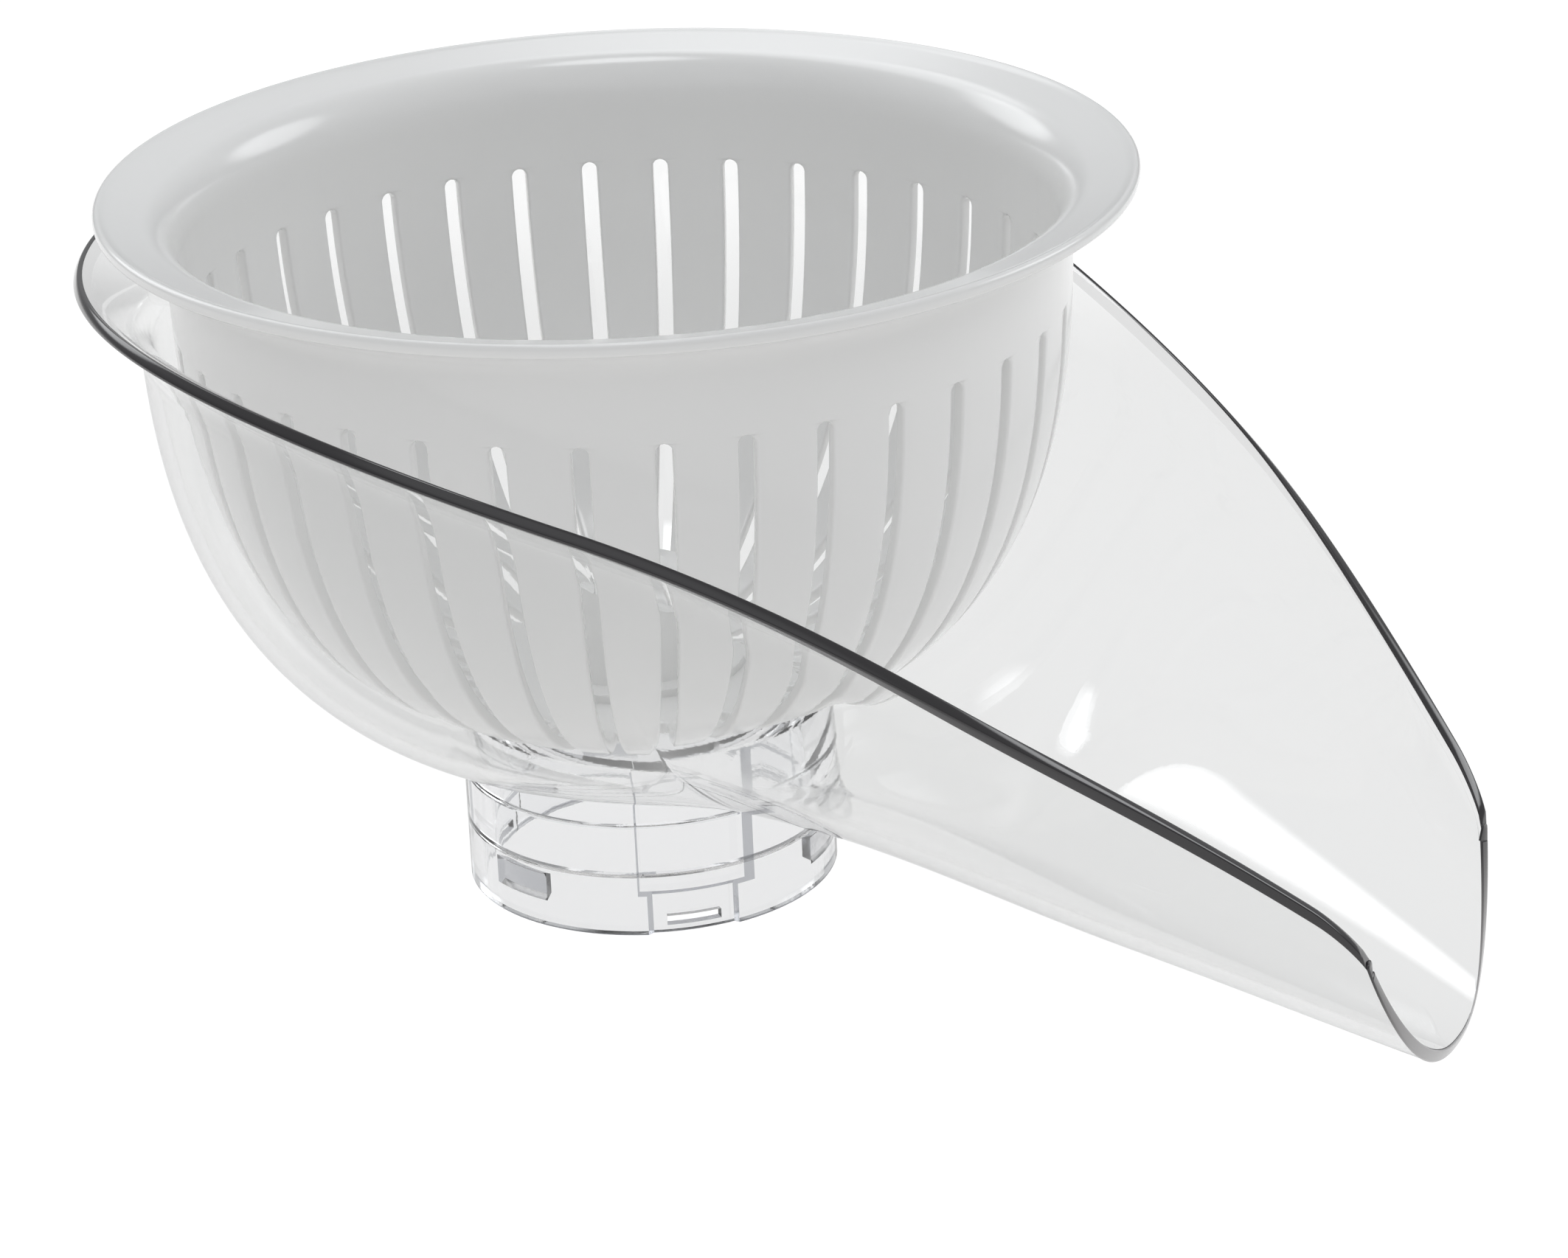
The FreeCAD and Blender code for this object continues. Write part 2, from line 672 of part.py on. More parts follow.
def basket_outside():
    """Points up the outside of the basket's wall, from the flat floor to the flange."""
    floor_radius, floor_level = value_of(FLOOR_RADIUS), size("basket_floor_level")
    width = size("basket_radius") - floor_radius
    flange_turn = size("flange_level") - size("flange_edge") - 11
    height = flange_turn - floor_level
    floor_power, wall_power = 2.2, 2.5
    points = []
    for k in range(WALL_POINTS + 1):
        turn = 0.5 * math.pi * k / WALL_POINTS
        out = math.sin(turn) ** (2 / floor_power)
        up = 1 - math.cos(turn) ** (2 / wall_power) if k < WALL_POINTS else 1.0
        points.append(Vec(floor_radius + width * out, 0, floor_level + height * up))
    return points


def moved_in(points, wall):
    """The same points moved in by the wall, square to the line."""
    result = []
    last = len(points) - 1
    for k, point in enumerate(points):
        along = points[min(k + 1, last)] - points[max(k - 1, 0)]
        normal = Vec(-along.z, 0, along.x)
        if k == 0:
            normal = Vec(0, 0, 1)
        if k == last:
            normal = Vec(-1, 0, 0)
        normal.normalize()
        result.append(point + normal * wall)
    return result


def spline_through(points):
    curve = Part.BSplineCurve()
    curve.interpolate(points)
    return curve.toShape()


def basket_shell():
    """Wall, floor and flange of the basket as one turned solid."""
    outside = basket_outside()
    inside = moved_in(outside, size("basket_wall"))
    spigot = size("hub_spigot")
    edge, top = size("flange_radius"), size("flange_level")
    under = top - size("flange_edge")
    fall = size("flange_fall")
    root_out, root_in = outside[-1], inside[-1]
    shoulder_out = Vec(root_out.x + 7, 0, under - fall)
    shoulder_in = Vec(root_in.x + 8, 0, top - fall)
    bend_out = Vec(root_out.x + 1.9, 0, root_out.z + 0.72 * (shoulder_out.z - root_out.z))
    bend_in = Vec(root_in.x + 2.1, 0, root_in.z + 0.72 * (shoulder_in.z - root_in.z))
    floor_out, floor_in = Vec(spigot, 0, outside[0].z), Vec(spigot, 0, inside[0].z)
    edges = [
        Part.makeLine(floor_out, outside[0]),
        spline_through(outside),
        Part.Arc(root_out, bend_out, shoulder_out).toShape(),
        Part.makeLine(shoulder_out, Vec(edge, 0, under)),
        Part.makeLine(Vec(edge, 0, under), Vec(edge, 0, top)),
        Part.makeLine(Vec(edge, 0, top), shoulder_in),
        Part.Arc(shoulder_in, bend_in, root_in).toShape(),
        spline_through(inside[::-1]),
        Part.makeLine(inside[0], floor_in),
        Part.makeLine(floor_in, floor_out),
    ]
    return Part.Face(Part.Wire(edges)).revolve(Vec(0, 0, 0), Vec(0, 0, 1), 360)


def make_basket():
    """The turned shell, less the slots that run down its wall and under its floor."""
    shell = doc.addObject("Part::Feature", "basket_moulding")
    shell.Shape = basket_shell()
    # the seam of the turned shell lies midway between two slots
    shell.setExpression(".Placement.Rotation.Angle", cells("slot_turn + 180 / slot_count"))
    blade = doc.addObject("Part::Box", "slot_blade")
    bind(blade, Length="flange_radius - slot_inner", Width="slot_width",
         Height="slot_top - 0.5 * slot_width - basket_floor_level + 10")
    blade.setExpression("Placement.Base.x", cells("slot_inner"))
    blade.setExpression("Placement.Base.y", cells("-0.5 * slot_width"))
    blade.setExpression("Placement.Base.z", cells("basket_floor_level - 10"))
    head = doc.addObject("Part::Cylinder", "slot_head")
    head.Placement.Rotation = FreeCAD.Rotation(Vec(0, 1, 0), 90)
    bind(head, Radius="0.5 * slot_width", Height="flange_radius - slot_inner")
    head.setExpression("Placement.Base.x", cells("slot_inner"))
    head.setExpression("Placement.Base.z", cells("slot_top - 0.5 * slot_width"))
    toe = doc.addObject("Part::Cylinder", "slot_toe")
    bind(toe, Radius="0.5 * slot_width", Height="basket_wall + 20")
    toe.setExpression("Placement.Base.x", cells("slot_inner"))
    toe.setExpression("Placement.Base.z", cells("basket_floor_level - 10"))
    cutter = doc.addObject("Part::MultiFuse", "slot_cutter")
    cutter.Shapes = [blade, head, toe]
    doc.recompute()
    ring = doc.addObject("Part::Feature", "slot_ring")
    count = int(size("slot_count"))
    blades = []
    for k in range(count):
        one = cutter.Shape.copy()
        one.rotate(Vec(0, 0, 0), Vec(0, 0, 1), size("slot_turn") + 360 * k / count)
        blades.append(one)
    ring.Shape = Part.makeCompound(blades)
    basket = doc.addObject("Part::Cut", "basket")
    basket.Base, basket.Tool = shell, ring
    doc.recompute()
    return basket


def make_basket_hub():
    """Hollow cone in the basket's floor, over the bearing tower."""
    body = new_body("basket_hub")
    turned(body, "hub_cone", [
        ("hub_bore", "basket_floor_level"), ("hub_spigot", "basket_floor_level"),
        ("hub_spigot", HUB_LEVEL), (HUB_FLANGE, HUB_LEVEL),
        (HUB_FLANGE, f"{HUB_LEVEL} + hub_flange_wall"),
        ("hub_spigot - 1", f"{HUB_LEVEL} + hub_flange_wall"), ("hub_neck", HUB_TOP),
        ("hub_bore", HUB_TOP),
    ])
    return body


def make_drive_socket():
    """Closed cup with a hexagonal hole, fixed in the hub, which drops over the dog."""
    body = new_body("drive_socket")
    turned(body, "socket_cup", [
        ("0", SOCKET_FOOT), ("hub_bore", SOCKET_FOOT), ("hub_bore", SOCKET_TOP), ("0", SOCKET_TOP),
    ])
    hexagon(body, "socket_hex", "Pocket", f"{SOCKET_FOOT} - 1",
            "dog_flats + 2 * socket_gap", f"{SOCKET_TOP} - socket_roof - {SOCKET_FOOT} + 1")
    return body


def make_hub_cap():
    """Low domed cap that closes the top of the hub."""
    body = new_body("hub_cap")
    turned(body, "cap", [
        ("0", SOCKET_TOP), ("hub_bore", SOCKET_TOP), ("hub_bore", HUB_TOP), ("hub_neck", HUB_TOP),
        ("hub_neck", f"{HUB_TOP} + 0.3 * cap_dome"), ("0.86 * hub_neck", f"{HUB_TOP} + 0.7 * cap_dome"),
        ("0.5 * hub_neck", f"{HUB_TOP} + 0.95 * cap_dome"), ("0", f"{HUB_TOP} + cap_dome"),
    ])
    return body


PIECES = [
    pouring_bowl,
    make_foot_collar(),
    make_bearing_bush(),
    make_shaft_seal(),
    make_spindle(),
    make_thrust_washer("upper_washer", f"({DOG_LEVEL} - washer_height)"),
    make_drive_dog(),
    make_drive_pin(),
    make_thrust_washer("lower_washer", LOWER_WASHER),
    make_drive_coupling(),
    make_retaining_clip(),
    make_basket(),
    make_basket_hub(),
    make_drive_socket(),
    make_hub_cap(),
]

# ---------------------------------------------------------------- checks and export

doc.recompute()
for obj in doc.Objects:
    if "Invalid" in obj.State or "Error" in obj.State:
        raise RuntimeError(f"{obj.Name} failed to compute: {obj.State}")
for piece in PIECES:
    if piece.Shape.isNull() or not piece.Shape.isValid():
        raise RuntimeError(f"{piece.Label} has no valid shape")
    print(f"{piece.Label:16s} {len(piece.Shape.Solids)} solid {piece.Shape.Volume / 1000:9.3f} cm3")
for piece in PIECES:
    piece.Shape.exportStep(f"parts/{piece.Label}.step")
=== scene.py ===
"""Salad spinner: a slotted basket in a clear bowl with a long pouring spout."""

from __future__ import annotations

import json
import logging
import math
from dataclasses import dataclass, field
from enum import Enum

import bmesh
import bpy
import numpy as np
from mathutils import Matrix, Vector

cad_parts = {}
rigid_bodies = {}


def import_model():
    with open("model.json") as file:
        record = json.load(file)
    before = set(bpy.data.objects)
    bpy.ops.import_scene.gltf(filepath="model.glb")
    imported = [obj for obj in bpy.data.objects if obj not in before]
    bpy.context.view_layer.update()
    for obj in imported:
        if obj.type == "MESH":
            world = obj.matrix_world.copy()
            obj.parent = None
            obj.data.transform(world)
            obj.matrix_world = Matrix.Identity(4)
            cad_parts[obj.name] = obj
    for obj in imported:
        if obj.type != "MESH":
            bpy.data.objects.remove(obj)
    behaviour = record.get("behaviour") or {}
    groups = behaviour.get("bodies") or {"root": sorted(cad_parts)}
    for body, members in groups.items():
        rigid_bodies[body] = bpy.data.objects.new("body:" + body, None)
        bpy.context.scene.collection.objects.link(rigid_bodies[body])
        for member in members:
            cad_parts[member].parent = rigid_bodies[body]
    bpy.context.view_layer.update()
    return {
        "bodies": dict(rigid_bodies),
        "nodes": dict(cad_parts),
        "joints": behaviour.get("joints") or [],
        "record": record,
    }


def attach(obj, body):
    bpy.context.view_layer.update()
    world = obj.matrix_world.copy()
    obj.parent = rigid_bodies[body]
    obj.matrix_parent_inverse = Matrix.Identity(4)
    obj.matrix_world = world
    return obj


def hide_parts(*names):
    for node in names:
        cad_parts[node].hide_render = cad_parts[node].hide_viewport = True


logging.basicConfig(level=logging.INFO, format="%(message)s")
log = logging.getLogger("salad_spinner")

MM = 0.001
SOFT_RAY_PASS = 0.9  # share of soft and shadow light that a clear wall lets by
EDGE_SEEN_THROUGH = 0.86  # how see-through the wall's end is from inside


class Body(Enum):
    """The bodies that new pieces ride on."""

    BOWL = "bowl"
    BASKET_SET = "basket_set"


class Slot(Enum):
    """The record's material slots."""

    CLEAR_BOWL = "clear_bowl"
    CLEAR_COLLAR = "clear_collar"
    BASKET_WHITE = "basket_white"


# ---------------------------------------------------------------- shader node groups


def new_group(
    name: str, inputs: list[tuple[str, str, object]], outputs: list[tuple[str, str]],
) -> tuple[bpy.types.ShaderNodeTree, bpy.types.Node, bpy.types.Node]:
    """Start a shader node group.

    Args:
        name: the group's name.
        inputs: name, socket type and default of each input.
        outputs: name and socket type of each output.

    Returns:
        The group, its input node and its output node.
    """
    group = bpy.data.node_groups.new(name, "ShaderNodeTree")
    for label, kind, default in inputs:
        socket = group.interface.new_socket(label, in_out="INPUT", socket_type=kind)
        if default is not None:
            socket.default_value = default
    for label, kind in outputs:
        group.interface.new_socket(label, in_out="OUTPUT", socket_type=kind)
    start = group.nodes.new("NodeGroupInput")
    end = group.nodes.new("NodeGroupOutput")
    return group, start, end


def connect(links: bpy.types.NodeLinks,
            *pairs: tuple[bpy.types.Node, str | int, bpy.types.Node, str | int]) -> None:
    """Link nodes: from a node's output to another node's input.

    Args:
        links: the links of the tree.
        pairs: the node that gives, its output, the node that takes and its input.
    """
    for giver, output, taker, socket in pairs:
        links.new(giver.outputs[output], taker.inputs[socket])


def eased_range(nodes: bpy.types.Nodes, source: tuple[float, float],
                target: tuple[float, float]) -> bpy.types.Node:
    """Add a Map Range node that eases smoothly from one range to another.

    Args:
        nodes: the nodes of the material or world.
        source: lowest and highest value that comes in.
        target: the values that these two become.

    Returns:
        The new node.
    """
    node = nodes.new("ShaderNodeMapRange")
    node.interpolation_type = "SMOOTHSTEP"
    names = ("From Min", "From Max", "To Min", "To Max")
    for name, value in zip(names, (*source, *target)):
        node.inputs[name].default_value = value
    return node


def falling_alpha(nodes: bpy.types.Nodes, drop: float) -> bpy.types.Node:
    """Add a node that gives an alpha of one, less a drop where its first input is one.

    Args:
        nodes: the nodes of the material.
        drop: how far the alpha falls.

    Returns:
        The new node, whose first input is still free.
    """
    node = nodes.new("ShaderNodeMath")
    node.operation = "MULTIPLY_ADD"
    node.inputs[1].default_value = -drop
    node.inputs[2].default_value = 1.0
    return node


def moulding_group() -> bpy.types.ShaderNodeTree:
    """Faint flow marks, haze and fine scuffs of a moulded or ground surface.

    Returns:
        A group that puts out a colour, a roughness and a height.
    """
    group, start, end = new_group(
        "moulded_surface",
        [
            ("Colour", "NodeSocketColor", (0.8, 0.8, 0.8, 1.0)),
            ("Shade", "NodeSocketFloat", 0.97),
            ("Roughness", "NodeSocketFloat", 0.1),
            ("Haze", "NodeSocketFloat", 0.05),
            ("Flow Scale", "NodeSocketFloat", 14.0),
            ("Scuff Scale", "NodeSocketFloat", 900.0),
        ],
        [
            ("Colour", "NodeSocketColor"),
            ("Roughness", "NodeSocketFloat"),
            ("Height", "NodeSocketFloat"),
        ],
    )
    nodes, links = group.nodes, group.links
    coords = nodes.new("ShaderNodeTexCoord")
    flow = nodes.new("ShaderNodeTexNoise")
    flow.inputs["Detail"].default_value = 3.0
    scuff = nodes.new("ShaderNodeTexNoise")
    scuff.inputs["Detail"].default_value = 4.0
    stretch = nodes.new("ShaderNodeMapping")
    stretch.inputs["Scale"].default_value = (1.0, 1.0, 0.2)
    connect(
        links, (coords, "Object", stretch, "Vector"), (stretch, "Vector", flow, "Vector"),
        (coords, "Object", scuff, "Vector"), (start, "Flow Scale", flow, "Scale"),
        (start, "Scuff Scale", scuff, "Scale"),
    )
    shade = nodes.new("ShaderNodeMapRange")
    shade.inputs["To Max"].default_value = 1.0
    connect(links, (flow, "Fac", shade, "Value"), (start, "Shade", shade, "To Min"))
    tint = nodes.new("ShaderNodeVectorMath")
    tint.operation = "SCALE"
    connect(links, (start, "Colour", tint, 0), (shade, "Result", tint, "Scale"))
    haze = nodes.new("ShaderNodeMath")
    haze.operation = "MULTIPLY_ADD"
    connect(
        links, (scuff, "Fac", haze, 0), (start, "Haze", haze, 1), (start, "Roughness", haze, 2),
    )
    both = nodes.new("ShaderNodeMath")
    both.operation = "ADD"
    connect(
        links, (flow, "Fac", both, 0), (scuff, "Fac", both, 1), (tint, "Vector", end, "Colour"),
        (haze, "Value", end, "Roughness"), (both, "Value", end, "Height"),
    )
    return group


@dataclass(frozen=True)
class Finish:
    """One finish: a Principled surface with the shared moulded detail on it."""

    name: str
    colour: tuple[float, float, float]
    roughness: float
    haze: float = 0.04
    shade: float = 0.97
    flow_scale: float = 14.0
    scuff_scale: float = 900.0
    bump: float = 0.02
    bump_distance: float = 0.0002
    metallic: float = 0.0
    transmission: float = 0.0
    refraction: float = 1.47
    coat: float = 0.0
    coat_roughness: float = 0.03
    specular: float = 0.5

    def build(self, group: bpy.types.ShaderNodeTree) -> bpy.types.Material:
        """Make the material.

        Args:
            group: the shared moulded-surface group.

        Returns:
            The new material.
        """
        material = bpy.data.materials.new(self.name)
        material.use_nodes = True
        nodes, links = material.node_tree.nodes, material.node_tree.links
        shader = nodes["Principled BSDF"]
        detail = nodes.new("ShaderNodeGroup")
        detail.node_tree = group
        for socket, value in (
            ("Colour", (*self.colour, 1.0)), ("Shade", self.shade),
            ("Roughness", self.roughness), ("Haze", self.haze),
            ("Flow Scale", self.flow_scale), ("Scuff Scale", self.scuff_scale),
        ):
            detail.inputs[socket].default_value = value
        bump = nodes.new("ShaderNodeBump")
        bump.inputs["Strength"].default_value = self.bump
        bump.inputs["Distance"].default_value = self.bump_distance
        connect(
            links, (detail, "Colour", shader, "Base Color"),
            (detail, "Roughness", shader, "Roughness"), (detail, "Height", bump, "Height"),
            (bump, "Normal", shader, "Normal"),
        )
        for socket, value in (
            ("Metallic", self.metallic), ("Transmission Weight", self.transmission),
            ("IOR", self.refraction), ("Coat Weight", self.coat),
            ("Coat Roughness", self.coat_roughness), ("Specular IOR Level", self.specular),
        ):
            shader.inputs[socket].default_value = value
        if self.transmission > 0:
            let_light_through(material)
        return material


def let_light_through(material: bpy.types.Material) -> None:
    """Let soft light and shadow rays pass a clear wall, as thin clear plastic does.

    Args:
        material: a clear finish with one Principled surface.
    """
    nodes, links = material.node_tree.nodes, material.node_tree.links
    path = nodes.new("ShaderNodeLightPath")
    soft = nodes.new("ShaderNodeMath")
    soft.operation = "MAXIMUM"
    alpha = falling_alpha(nodes, SOFT_RAY_PASS)
    connect(
        links, (path, "Is Shadow Ray", soft, 0), (path, "Is Diffuse Ray", soft, 1),
        (soft, "Value", alpha, 0), (alpha, "Value", nodes["Principled BSDF"], "Alpha"),
    )


CLEAR = Finish("clear_acrylic", (0.93, 0.932, 0.93), 0.0, haze=0.02, shade=0.985,
               bump=0.012, flow_scale=9.0, transmission=1.0, refraction=1.46)
CLEAR_COLLAR = Finish("clear_collar_acrylic", (0.94, 0.943, 0.95), 0.0, haze=0.03, shade=0.98,
                      bump=0.015, flow_scale=16.0, transmission=1.0, refraction=1.46)
WHITE = Finish("white_moulding", (0.81, 0.808, 0.80), 0.16, haze=0.05, shade=0.985,
               coat=0.35, coat_roughness=0.05)
ACETAL = Finish("natural_acetal", (0.78, 0.77, 0.73), 0.38, haze=0.12, shade=0.93, bump=0.1)
STEEL = Finish("ground_steel", (0.62, 0.62, 0.63), 0.24, haze=0.12, shade=0.85, metallic=1.0,
               flow_scale=60.0, scuff_scale=1800.0, bump=0.12)
# Painted shade: a grey tint on the collar's steps, slot walls, lugs and bottom edge, standing in
# for the darker lines these make by refraction.
CLEAR_CORNER_PAINTED_SHADE = Finish("clear_corner_painted_shade", (0.33, 0.34, 0.37), 0.12, haze=0.2, shade=0.8, bump=0.03,
                      flow_scale=60.0, transmission=1.0, refraction=1.46)
RUBBER = Finish("silicone_rubber", (0.62, 0.64, 0.66), 0.5, haze=0.15, shade=0.92, bump=0.15)


def painted_dark_edge(group: bpy.types.ShaderNodeTree) -> bpy.types.Material:
    """Painted shade on the end of the clear wall: nearly black, lightening to a painted grey
    towards the lip's bottom.

    Args:
        group: the shared moulded-surface group.

    Returns:
        The new material.
    """
    # The near-black colour is painted shade for the clear wall's end seen edge-on.
    finish = Finish("wall_edge_painted_shade", (0.02, 0.018, 0.02), 0.06, haze=0.05, shade=0.8,
                    flow_scale=30.0, coat=0.6)
    material = finish.build(group)
    nodes, links = material.node_tree.nodes, material.node_tree.links
    coords = nodes.new("ShaderNodeTexCoord")
    split = nodes.new("ShaderNodeSeparateXYZ")
    links.new(coords.outputs["Object"], split.inputs["Vector"])
    # Painted shade graded by height: near black above 24 mm, lightening to grey at the lip's
    # bottom where light shows through.
    level = eased_range(nodes, (-16 * MM, 24 * MM), (0.0, 1.0))
    links.new(split.outputs["Z"], level.inputs["Value"])
    ramp = nodes.new("ShaderNodeValToRGB")
    ramp.color_ramp.elements[0].color = (0.50, 0.49, 0.49, 1.0)
    ramp.color_ramp.elements[1].color = (0.014, 0.012, 0.014, 1.0)
    middle = ramp.color_ramp.elements.new(0.55)
    middle.color = (0.20, 0.19, 0.19, 1.0)
    links.new(level.outputs["Result"], ramp.inputs["Fac"])
    mix = nodes.new("ShaderNodeMix")
    mix.data_type = "RGBA"
    mix.blend_type = "MULTIPLY"
    mix.inputs["Factor"].default_value = 0.35
    detail = next(n for n in nodes if n.type == "GROUP")
    detail.inputs["Colour"].default_value = (1.0, 1.0, 1.0, 1.0)
    connect(
        links, (ramp, "Color", mix, "A"), (detail, "Colour", mix, "B"),
        (mix, "Result", nodes["Principled BSDF"], "Base Color"),
    )
    side = nodes.new("ShaderNodeNewGeometry")
    clear = falling_alpha(nodes, EDGE_SEEN_THROUGH)
    connect(
        links, (side, "Backfacing", clear, 0),
        (clear, "Value", nodes["Principled BSDF"], "Alpha"),
    )
    return material


# ---------------------------------------------------------------- mesh helpers


def ease(low: float, high: float, x: float) -> float:
    """Change smoothly from zero to one.

    Args:
        low: where the change begins; it is zero below.
        high: where it ends; it is one above.
        x: the place asked about.

    Returns:
        A share between zero and one.
    """
    t = min(1.0, max(0.0, (x - low) / (high - low)))
    return t * t * (3 - 2 * t)


def running_length(line: np.ndarray) -> np.ndarray:
    """Length from the first point of a line to each of its points."""
    return np.r_[0, np.cumsum(np.linalg.norm(np.diff(line, axis=0), axis=1))]


def along_line(stops: np.ndarray, lengths: np.ndarray, values: np.ndarray) -> np.ndarray:
    """Read pairs of values at stated lengths along a line.

    Args:
        stops: the lengths wanted.
        lengths: the running length of each of the line's points.
        values: the pair of values at each of them.

    Returns:
        The pair of values at each stop.
    """
    return np.c_[np.interp(stops, lengths, values[:, 0]), np.interp(stops, lengths, values[:, 1])]


def grid_faces(rows: int, columns: int, start: int = 0, flip: bool = False) -> list[list[int]]:
    """Make the quads of a grid of points numbered row by row.

    Args:
        rows: how many rows of points there are.
        columns: how many points are in a row.
        start: the number of the first point.
        flip: whether the faces turn the other way.

    Returns:
        The point numbers of each quad.
    """
    faces = []
    for i in range(rows - 1):
        for j in range(columns - 1):
            a = start + i * columns + j
            quad = [a, a + 1, a + columns + 1, a + columns]
            faces.append(quad[::-1] if flip else quad)
    return faces


def mesh_piece(name: str, points: np.ndarray, faces: list[list[int]],
               materials: list[bpy.types.Material], indices: list[int] | None = None,
               merge: float = 1e-6, sharp: float | None = None) -> bpy.types.Object:
    """Make a closed, smooth-shaded mesh object whose faces point outwards.

    Args:
        name: the piece's name.
        points: its points, in metres.
        faces: lists of point numbers.
        materials: the piece's materials.
        indices: a material number for each face.
        merge: points nearer than this are joined.
        sharp: edges that turn more than this many degrees stay crisp.

    Returns:
        The new object.
    """
    mesh = bpy.data.meshes.new(name)
    mesh.from_pydata([tuple(p) for p in points], [], faces)
    if indices is not None:
        mesh.polygons.foreach_set("material_index", indices)
    work = bmesh.new()
    work.from_mesh(mesh)
    bmesh.ops.remove_doubles(work, verts=work.verts, dist=merge)
    bmesh.ops.dissolve_degenerate(work, edges=work.edges, dist=merge)
    loose = [v for v in work.verts if not v.link_faces]
    bmesh.ops.delete(work, geom=loose, context="VERTS")
    bmesh.ops.recalc_face_normals(work, faces=work.faces)
    if work.calc_volume(signed=True) < 0:
        bmesh.ops.reverse_faces(work, faces=work.faces)
    open_edges = sum(1 for e in work.edges if len(e.link_faces) != 2)
    work.to_mesh(mesh)
    work.free()
    mesh.polygons.foreach_set("use_smooth", [True] * len(mesh.polygons))
    if sharp is not None:
        mesh.set_sharp_from_angle(angle=math.radians(sharp))
    for material in materials:
        mesh.materials.append(material)
    piece = bpy.data.objects.new(name, mesh)
    bpy.context.scene.collection.objects.link(piece)
    log.info("%-18s %7d faces, %d open edges", name, len(mesh.polygons), open_edges)
    return piece


# ---------------------------------------------------------------- bowl and spout


@dataclass
class PouringBowl:
    """The clear bowl, drawn out into the spout; lengths in millimetres."""

    # painted shade: the near-black material of the wall's end, its mouth and the lip's last rows
    edge_painted_shade: bpy.types.Material
    finish: bpy.types.Material
    rim_radius: float = 125.9
    wall: float = 3.0
    floor_level: float = 33.0
    rim_level: float = 155.3
    flare: float = 13.9
    flare_depth: float = 16.0
    spout_reach: float = 196.0
    spout_half_width: float = 42.5
    spout_drop: float = 125.3
    keel_start: float = 20.0
    lip_level: float = -14.6
    lip_lean: float = 0.17
    rim_leaves: float = 69.2  # degrees round the bowl at which the rim leaves its circle
    rim_meets: float = 33.7  # degrees to the middle plane at which it meets the spout
    rim_handle: float = 0.6
    crown: tuple[float, float, float] = (22.5, 105.3, 42.5)
    keel_bend: float = 0.52
    fullness: float = 2.6
    collar_radius: float = 44.35
    edge_round: float = 1.1
    # width of the band beside the wall's end that wears the painted dark shade
    painted_dark_strip: float = 2.7
    corner_run: float = 9.0
    corner_cut: float = 0.11
    corner_stops: tuple[float, ...] = (8, 16, 24, 32, 40, 48, 56, 63, 70)
    rise_steps: int = 54
    cap_steps: int = 8
    lip_steps: int = 4
    lip_round: float = 0.45

    def rim_plan(self, x: float) -> float:
        """Half the width of the rim, by a circle and then a cubic to the spout.

        Args:
            x: the distance along the spout from the bowl's axis.

        Returns:
            Half the rim's width there.
        """
        leave, meet = math.radians(self.rim_leaves), math.radians(self.rim_meets)
        start = Vector((self.rim_radius * math.cos(leave), self.rim_radius * math.sin(leave)))
        if x <= start.x:
            return math.sqrt(self.rim_radius ** 2 - x ** 2)
        end = Vector((self.spout_reach, self.spout_half_width))
        handle = self.rim_handle * (end - start).length
        first = start + Vector((math.sin(leave), -math.cos(leave))) * handle
        second = end + Vector((-math.cos(meet), math.sin(meet))) * handle
        low, high = 0.0, 1.0
        for _ in range(40):
            t = (low + high) / 2
            s = 1 - t
            spot = (start * s ** 3 + first * 3 * s * s * t + second * 3 * s * t * t + end * t ** 3)
            low, high = (t, high) if spot.x < x else (low, t)
        return spot.y

    def rim_height(self, x: float) -> float:
        """Level of the rim: a gentle crown over the back, then a long fall.

        Args:
            x: the distance along the spout from the bowl's axis.

        Returns:
            The rim's level there.
        """
        u = (x + self.rim_radius) / (self.rim_radius + self.spout_reach)
        crown, bend, fall = self.crown
        shape = -crown * u + bend * u ** 2 + fall * u ** 3
        return self.rim_level - shape * self.spout_drop / (bend + fall - crown)

    def keel_height(self, x: float) -> float:
        """Level of the trough's underside on the middle plane.

        Args:
            x: the distance along the spout from the bowl's axis.

        Returns:
            The level of the underside there.
        """
        start = self.collar_radius - 0.05
        depth = self.rim_height(self.spout_reach) - self.lip_level
        end = self.spout_reach + self.lip_lean * depth
        u = (x - start) / (end - start)
        fall = (1 - self.keel_bend) * u + self.keel_bend * u * u
        line = self.keel_start - (self.keel_start - self.lip_level) * fall
        return self.floor_level + (line - self.floor_level) * ease(0, start, x)

    def section(self, width: float, low: float, high: float, powers: tuple[float, float],
                flare: float, share: float, begin: float) -> np.ndarray:
        """Half a section as (out, up) points.

        Args:
            width: half width of the wall without its flare.
            low: level of the section's bottom.
            high: level of the rim.
            powers: the exponents that set how full the floor and the wall are.
            flare: outward flare at the rim.
            share: how much of the section's length is kept.
            begin: the distance out at which it begins.

        Returns:
            An array of rise_steps + 1 points, closer near the rim.
        """
        turn = math.pi / 4 * (1 - np.cos(np.pi * np.linspace(0, 1, 900)))
        out = np.sin(turn) ** (2 / powers[0])
        up = 1 - np.clip(np.cos(turn), 0, 1) ** (2 / powers[1])
        level = low + (high - low) * up
        near = np.clip(1 - (high - level) / self.flare_depth, 0, 1)
        fine = np.c_[width * out + flare * near ** 2, level]
        fine[0] = (0.0, low)
        lengths = running_length(fine)
        first = np.interp(begin, fine[:, 0], lengths)
        last = share * lengths[-1]
        steps = 1 - (1 - np.linspace(0, 1, self.rise_steps)) ** 1.4
        strip = self.edge_round + self.painted_dark_strip
        target = np.r_[first + (last - strip - first) * steps, last]
        return along_line(target, lengths, fine)

